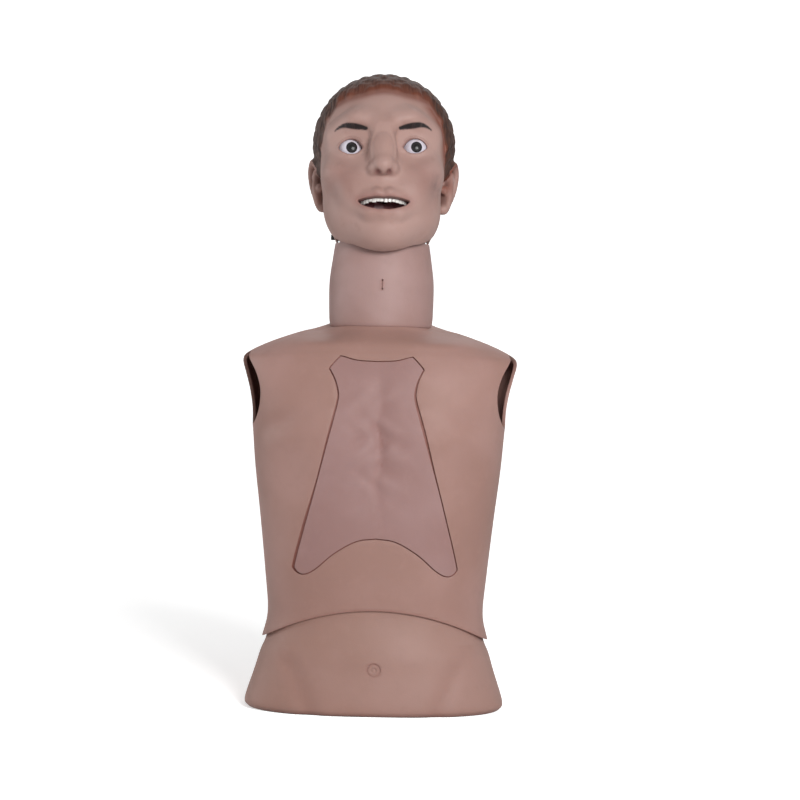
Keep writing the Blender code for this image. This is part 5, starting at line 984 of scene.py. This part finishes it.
random = np.random.default_rng(11)
crown = np.array((0.0, 0.040, 0.1200))
golden = math.pi * (3 - math.sqrt(5))
LOCKS = 420
for i in range(LOCKS):
    high = 1 - 2 * (i + 0.5) / LOCKS
    flat = math.sqrt(1 - high * high)
    way = np.array([abs(math.cos(golden * i)) * flat, math.sin(golden * i) * flat, high])
    root = HAIR_MIDDLE + way * HAIR_SIZE
    if hairline(*root) < (0.012 if -root[1] > abs(root[0]) else 0.006) or root[2] < -0.05:
        continue
    normal = way / HAIR_SIZE
    normal /= np.linalg.norm(normal)
    fall = root - crown + random.normal(0, 0.010, 3)
    fall -= normal * fall.dot(normal)
    fall /= max(np.linalg.norm(fall), 1e-6)
    size = random.uniform(0.0050, 0.0062)
    strand = []
    for t in (-0.010, -0.001, 0.008, 0.014):
        spot = root + fall * t - HAIR_MIDDLE
        spot = spot / np.sqrt(((spot / HAIR_SIZE) ** 2).sum()) + HAIR_MIDDLE
        spot[0] = max(spot[0], 0.0)
        strand.append(spot - normal * (0.0022 if t < 0 else 0.0012))
    if min(hairline(*spot) for spot in strand) < -0.001:
        continue
    roll(strand, [0.6 * size, size, 0.92 * size, 0.40 * size], 0.0040)
roll([(0, 0.030, 0.1215), (0, -0.010, 0.1215), (0, -0.045, 0.1085), (0, -0.066, 0.0920)], [0.0040] * 4, 0.006)
lump((0, 0.040, 0.1142), (0.0200, 0.0200, 0.0085), 0.008)


def carve_field(low, high, distance, soft=0.0008, carve=True):
    cuts, (x, y, z) = head_clay.near(low, high)
    x, y, z = np.broadcast_arrays(x, y, z)
    head_clay.blend(cuts, distance(x, y, z), soft, carve)


def from_pivot(y, z, tilt):
    """Places on the head, as steps along and above the pivot, with the head tilted back by an angle."""
    y, z = y - ball[1], z - ball[2]
    return y * math.cos(tilt) + z * math.sin(tilt), z * math.cos(tilt) - y * math.sin(tilt)


def under_rim(x, y, z):
    """What lies under the head's rim, which rises to the front and back to let the head nod."""
    along, up = from_pivot(y, z, HEAD_TILT)
    lowest = -0.0058 + 0.27 * np.clip(-along, 0, 0.055) + 0.19 * np.clip(along, 0, 0.078)
    return np.maximum(np.hypot(x, along) - 0.0625, up - lowest)


LUG_OUT = 0.0537


def lug(x, y, z):
    """The lug that a pin goes through: a round end on an upright web."""
    along, up = from_pivot(y, z, HEAD_TILT)
    round_end = np.hypot(y - ball[1], z - ball[2]) - 0.0068
    web = np.maximum(np.abs(along) - 0.0061, np.maximum(-up, up - 0.012))
    return np.maximum(np.minimum(round_end, web), np.maximum(0.0465 - x, x - LUG_OUT))


def pin_seat(x, y, z):
    """The dimple round a pin's head."""
    return np.maximum(np.hypot(y - ball[1], z - ball[2]) - 0.0045, LUG_OUT - x)


def nod_room(x, y, z):
    """The neck's sleeve, a little thicker, where it stands when the head is nodded fully forward."""
    along, up = from_pivot(y, z, HEAD_TILT - NOD_FORWARD)
    height = up - 0.0020 + PIVOT
    half_width = np.interp(height, neck_rings[:, 0, 2], neck_rings[:, 0, 0])
    front_reach = np.interp(height, neck_rings[:, 0, 2], -neck_rings[:, :, 1].min(axis=1))
    across = np.hypot(x, along * np.where(along < 0, half_width / front_reach, 1))
    return np.maximum(across - half_width - NOD_CLEARANCE, height - neck_rings[-1, 0, 2])


carve_field((0, -0.08, -0.130), (0.075, 0.10, -0.03), under_rim)
carve_field((0, -0.122, -0.130), (0.075, 0.05, -0.03), nod_room)
carve_field((0.040, -0.02, -0.09), (0.062, 0.05, -0.03), lug, 0.0006, carve=False)
lump(ball, (BALL_SEAT,) * 3, 0.0008, carve=True)
lump(SKULL_MIDDLE, SKULL_SIZE, 0.002, carve=True)
roll([(0.040, *ball[1:]), (0.080, *ball[1:])], [PIN_RADIUS] * 2, 0.0006, carve=True)
carve_field((0.045, -0.02, -0.09), (0.075, 0.05, -0.03), pin_seat, 0.0004)
throat = [(0, -0.062, -0.046), (0, -0.046, -0.030), (0, -0.028, -0.015), (0, -0.008, -0.014),
          (0, 0.008, -0.030), (0, ball[1], ball[2] - 0.001)]
roll(smooth_path(throat, 3), [0.0088] * 16, 0.0008, carve=True)

eye_points = [(-1.0, -0.25), (-0.55, 0.68), (0.0, 1.0), (0.55, 0.80), (1.0, 0.05), (0.55, -0.72),
              (0.0, -1.0), (-0.55, -0.85)]
eye_edge = smooth_path([*eye_points, eye_points[0]], 4)[:-1] * (0.0137, 0.0084) + (EYE_SIDE, EYE_UP - 0.0004)
mouth_half = [(0, 0.95), (0.30, 1.02), (0.70, 0.92), (1, 0.62), (0.72, -0.45), (0.35, -0.96), (0, -1.05)]
mouth_edge = [(x * MOUTH_HALF, MOUTH_UP + z * MOUTH_TALL) for x, z in mirrored(smooth_path(mouth_half, 6))]
lump((EYE_SIDE, -EYE_FORWARD, EYE_UP), (EYE + 0.0003,) * 3, 0.0006, carve=True)
head_clay.window(eye_edge, -0.12, -EYE_FORWARD)
head_clay.window(mouth_edge, -0.13, -0.066)
lump((0, -0.0660, MOUTH_UP + 0.004), (0.031, 0.020, 0.0195), 0.0008, carve=True)


def ramp(value, low, high):
    return np.clip((value - low) / (high - low), 0, 1)


def blob(*rows):
    """1 at a place and 0 away from it, from rows of a measure, its value there and its reach."""
    return np.exp(-sum(((value - place) / reach) ** 2 for value, place, reach in rows))


head = object_from("head_skin", head_clay.skin("head_skin"))
work = bmesh.new()
work.from_mesh(head.data)
for _ in range(2):
    bmesh.ops.smooth_vert(work, verts=work.verts, factor=0.25,
                          use_axis_x=True, use_axis_y=True, use_axis_z=True)
work.to_mesh(head.data)
work.free()
x, y, z = points_of(head.data)
side = np.abs(x)
front = y < -0.045
line = hairline(x, y, z)
outer = np.sqrt((((np.column_stack([x, y, z]) - SKULL_MIDDLE) / SKULL_SIZE) ** 2).sum(1)) > 1.06
ear_zone = blob((y, 0.013, 0.022), (z, -0.002, 0.030)) * (side > 0.0775)
hair = ramp(line, -0.0015 - 0.0045 * front, 0.0015 + 0.0045 * front) * outer * (ear_zone < 0.35)
brow_rows = [(0.0190, 0.0375, 0.0014), (0.0250, 0.0395, 0.0021), (0.0350, 0.0415, 0.0024),
             (0.0440, 0.0432, 0.0022), (0.0505, 0.0424, 0.0015), (0.0550, 0.0402, 0.0007)]
brow_line = smooth_path(brow_rows, 6)
brow = np.full(len(x), 1.0)
for (ax, az, ar), (bx, bz, br) in zip(brow_line, brow_line[1:]):
    along, gap = beside_edge(side, z, ax, az, bx, bz)
    brow = np.minimum(brow, gap - ar - along * (br - ar))
eye_gap = outline_gap(side, z, eye_edge)
mouth_gap = outline_gap(x, z, mouth_edge)
nostril = np.sqrt((side - 0.0062) ** 2 + ((y + 0.0985) / 1.6) ** 2 + ((z + 0.0195) / 1.2) ** 2)
lid_crease_shade = blob((eye_gap, 0.0026, 0.0006)) * (z > EYE_UP + 0.003)
around = np.degrees(np.arctan2(side, -y))
side_edge = np.interp(z, [-0.020, 0.005, 0.030, 0.047, 0.064, 0.078], [74, 72, 66, 59, 51, 44])
strip = ramp(around, side_edge - 17, side_edge - 3) ** 1.3 * (x > 0) * ramp(y, 0.002, -0.008)
strip = strip * ramp(z, -0.026, -0.004) * ramp(z, 0.086, 0.070)
right_temple = (x < 0) & (side > 0.055)
rust = blob((line, 0, 0.0085 + 0.006 * front)) * (y < 0.02) * np.where(right_temple, 0.25, 1.0)
burn = np.maximum(np.exp(-np.clip(-line, 0, 1) / 0.0035) * np.where(right_temple, 0.3, 1.0), strip)
ear_hollow = blob((side, 0.0745, 0.006), (y, 0.010, 0.010), (z, -0.006, 0.014))
# Painted shade, dark red: in the nostrils, in a thin line round each eye opening, along the lid crease above
# it, and in the ear's bowl.
shade = (0.90 * blob((nostril, 0, 0.0040)) + 0.40 * front * blob((np.clip(eye_gap, 0, 1), 0, 0.0013))
         + 0.25 * lid_crease_shade * front + 0.45 * ear_hollow)
marks(head.data, hair=hair, rust=rust, burn=burn * (1 - hair) * outer * (y < 0.03),
      comb=np.arctan2(side, -(y - crown[1])), reach=np.hypot(np.hypot(x, y - crown[1]), z - crown[2]),
      brow=ramp(brow, 0.0005, -0.0004) * front, lip=blob((np.clip(mouth_gap, 0, 1), 0, 0.0050)) * front,
      shade=np.clip(shade, 0, 1), inside=1.0 - outer,
      blush=front * blob((side, 0.047, 0.020), (z, -0.020, 0.026)),
      smudge=blob((x, 0.060, 0.007), (z, -0.022, 0.012)) * (y < 0))


def leaning(x, y, z):
    """The face sits slightly askew on the head, and one cheek is fuller, as in the real moulding."""
    front_share = np.clip(-y / 0.060, 0, 1) ** 1.5
    above = np.clip(z - MOUTH_UP, 0, 0.075)
    full = blob((x, -0.070, 0.022), (y, -0.022, 0.026), (z, -0.020, 0.040))
    return (x - 0.027 * above * front_share - 0.0040 * full, y,
            z + (0.030 * x - 0.0006) * front_share * np.clip(above / 0.05, 0, 1))


head.data.vertices.foreach_set("co", np.column_stack(leaning(x, y, z)).ravel())
head.data.transform(pose)
head.data.shade_smooth()

head_paint, flow = new_material("head_paint")
place = flow.node("TexCoord", out="Object")
value = {name: flow.node("Attribute", {"attribute_name": name}, out="Fac")
         for name in ("hair", "rust", "burn", "brow", "lip", "shade", "inside", "smudge", "comb", "reach",
                      "blush")}
broad, mottle, pores = place.noise(9.0, 3.0), place.noise(60.0, 5.0, Roughness=0.6), place.noise(650.0, 3.0)
strands = flow.node("CombineXYZ", (), {0: value["comb"] * 38.0, 1: value["reach"] * 90.0})
fine = strands.noise(1.0, 6.0, Distortion=0.3)
skin = broad.step(0.38, 0.64).between(linear(164, 130, 121), linear(176, 144, 136))
skin = skin.tint(linear(140, 108, 99), mottle.step(0.52, 0.80) * 0.30)
skin = skin.tint(linear(132, 90, 82), value["blush"] * 0.45).tint(linear(138, 92, 86), value["lip"] * 0.50)
skin = skin.tint(linear(118, 58, 38), value["burn"] * (mottle.step(0.20, 0.60) * 0.20 + 0.72))
skin = skin.tint(linear(110, 92, 92), value["smudge"] * mottle.step(0.30, 0.60) * 0.45)
# Painted shade: the shade numbers tint the skin dark red.
skin = skin.tint(linear(92, 34, 32), value["shade"])
skin = skin.tint(linear(26, 22, 24), value["brow"] * (fine.step(0.20, 0.50) * 0.10 + 0.88))
brown = fine.step(0.35, 0.65).between(linear(38, 19, 13), linear(76, 46, 34))
# Painted sheen: the hair on the -X side, which faces the lamp at the left, is lightened to grey-brown.
left = flow.node("SeparateXYZ", (), {"Vector": place}, 0).step(0.01, -0.07)
brown = brown.tint(linear(88, 70, 64), left * fine.step(0.42, 0.62) * 0.7)
brown = brown.tint(linear(118, 60, 40), value["rust"] * 0.70)
# Painted shade: the inside of the hollow head is tinted near black.
base = skin.tint(brown, value["hair"]).tint((0.05, 0.03, 0.03, 1), value["inside"])
height = pores * 0.5 + mottle * 0.6 + fine * value["hair"] * 1.6
bump = flow.node("Bump", (), {"Strength": 0.20, "Distance": 0.0005, "Height": height})
finish_with(flow, flow.node("BsdfPrincipled", (), {
    "Base Color": base, "Roughness": 0.48 + mottle * 0.12 + value["hair"] * 0.08, "Normal": bump,
    "Subsurface Weight": 0.05, "Subsurface Radius": (0.010, 0.004, 0.002), "Subsurface Scale": 0.3,
    "Specular IOR Level": 0.30}))
head.data.materials.append(head_paint)
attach(head, "head")
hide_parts("head_shell")


# Each eye is a glossy glazed ball behind the lids, with a painted dark iris. Both look a little
# up and to the picture's right. In the open mouth a row of white teeth hangs over a dark red
# rubber tongue and lining.
GAZE_UP = math.radians(7)


def eyeball(side, gaze):
    """A ball that carries its own places, seen along the line of sight, for its paint."""
    work = bmesh.new()
    bmesh.ops.create_icosphere(work, subdivisions=5, radius=EYE)
    mesh = mesh_from(work, "eyeball")
    centre = pose @ Vector(leaning(side * EYE_SIDE, -EYE_FORWARD, EYE_UP))
    look = Matrix.Rotation(math.radians(gaze), 3, "Z") @ Matrix.Rotation(-GAZE_UP, 3, "X")
    local = np.array([look.transposed() @ v.co for v in mesh.vertices])
    seen = mesh.attributes.new("seen", "FLOAT_VECTOR", "POINT")
    seen.data.foreach_set("vector", local.ravel())
    mesh.transform(Matrix.Translation(centre))
    mesh.shade_smooth()
    return object_from("eye_ball", mesh)


glaze, flow = new_material("eye_glaze_finish")
seen = flow.node("Attribute", {"attribute_name": "seen"}, out="Vector")
parts = [flow.node("SeparateXYZ", (), {"Vector": seen}, axis) for axis in range(3)]
radius = (parts[0] * parts[0] + parts[2] * parts[2]).sum("SQRT")
streaks, veins = seen.noise(500.0, 4.0), seen.noise(90.0, 6.0, Distortion=1.5)
clean = veins.step(0.50, 0.75).between(linear(216, 211, 222), linear(190, 170, 172))
iris = streaks.between(linear(22, 20, 22), linear(46, 42, 44))
iris_edge = radius.step(0.0052, 0.0058) * radius.step(0.0067, 0.0061)
eye_colour = clean.tint(iris, radius.step(0.0064, 0.0060)).tint(linear(20, 16, 18), iris_edge)
eye_colour = eye_colour.tint(linear(10, 8, 8), radius.step(0.0034, 0.0030))
finish_with(flow, flow.node("BsdfPrincipled", (), {"Base Color": eye_colour, "Roughness": 0.22 + veins * 0.05,
                                                   "Specular IOR Level": 0.18, "Coat Weight": 0.06,
                                                   "Coat Roughness": 0.04}))
for word, side, gaze in (("right", -1, 5), ("left", 1, 8)):
    eye = eyeball(side, gaze)
    eye.data.materials.append(glaze)
    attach(eye, "head")
    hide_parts(f"eye_{word}")

tooth_mesh = box_mesh((-0.5, -0.5, 0.0), (0.5, 0.5, 1.0))
tooth = object_from("tooth_shape", tooth_mesh)
tooth_mesh.transform(Matrix.Diagonal((0.0046, 0.0024, 0.012, 1)))
soften(tooth, 0.0007, 3, 30)
arch = smooth_path([(-0.0255, -0.0680), (-0.0200, -0.0760), (-0.0110, -0.0812), (0.0, -0.0832),
                    (0.0110, -0.0812), (0.0200, -0.0760), (0.0255, -0.0680)], 8)
run = np.concatenate([[0], np.cumsum(np.hypot(*np.diff(arch, axis=0).T))])
tooth_at, turns, sizes = [], [], []
jag = np.random.default_rng(5)
TEETH = 14
for share in np.linspace(0.03, 0.97, TEETH):
    px, py = (np.interp(share * run[-1], run, column) for column in arch.T)
    nx, ny = (np.interp(share * run[-1] + 0.001, run, column) for column in arch.T)
    tooth_at.append((px, py, MOUTH_UP + 0.0030 + jag.uniform(-0.0008, 0.0010)))
    turns.append((0, jag.uniform(-0.06, 0.06), math.atan2(ny - py, nx - px)))
    sizes.append((jag.uniform(0.85, 1.02), 1, 1))
tooth_glaze = moulded("tooth_glaze_finish", (0.90, 0.88, 0.84), 0.25, 0.03)
teeth = copies_of(tooth, tooth_at, copy_tree, tooth_glaze, "teeth_row", turns, sizes)
teeth.data.transform(pose)
teeth.data.shade_smooth()
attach(teeth, "head")
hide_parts("upper_teeth")
dress("tongue", moulded("tongue_rubber_finish", (0.22, 0.06, 0.065), 0.30, 0.25))
dress("mouth_lining", moulded("mouth_lining_finish", (0.24, 0.065, 0.075), 0.32, 0.2))
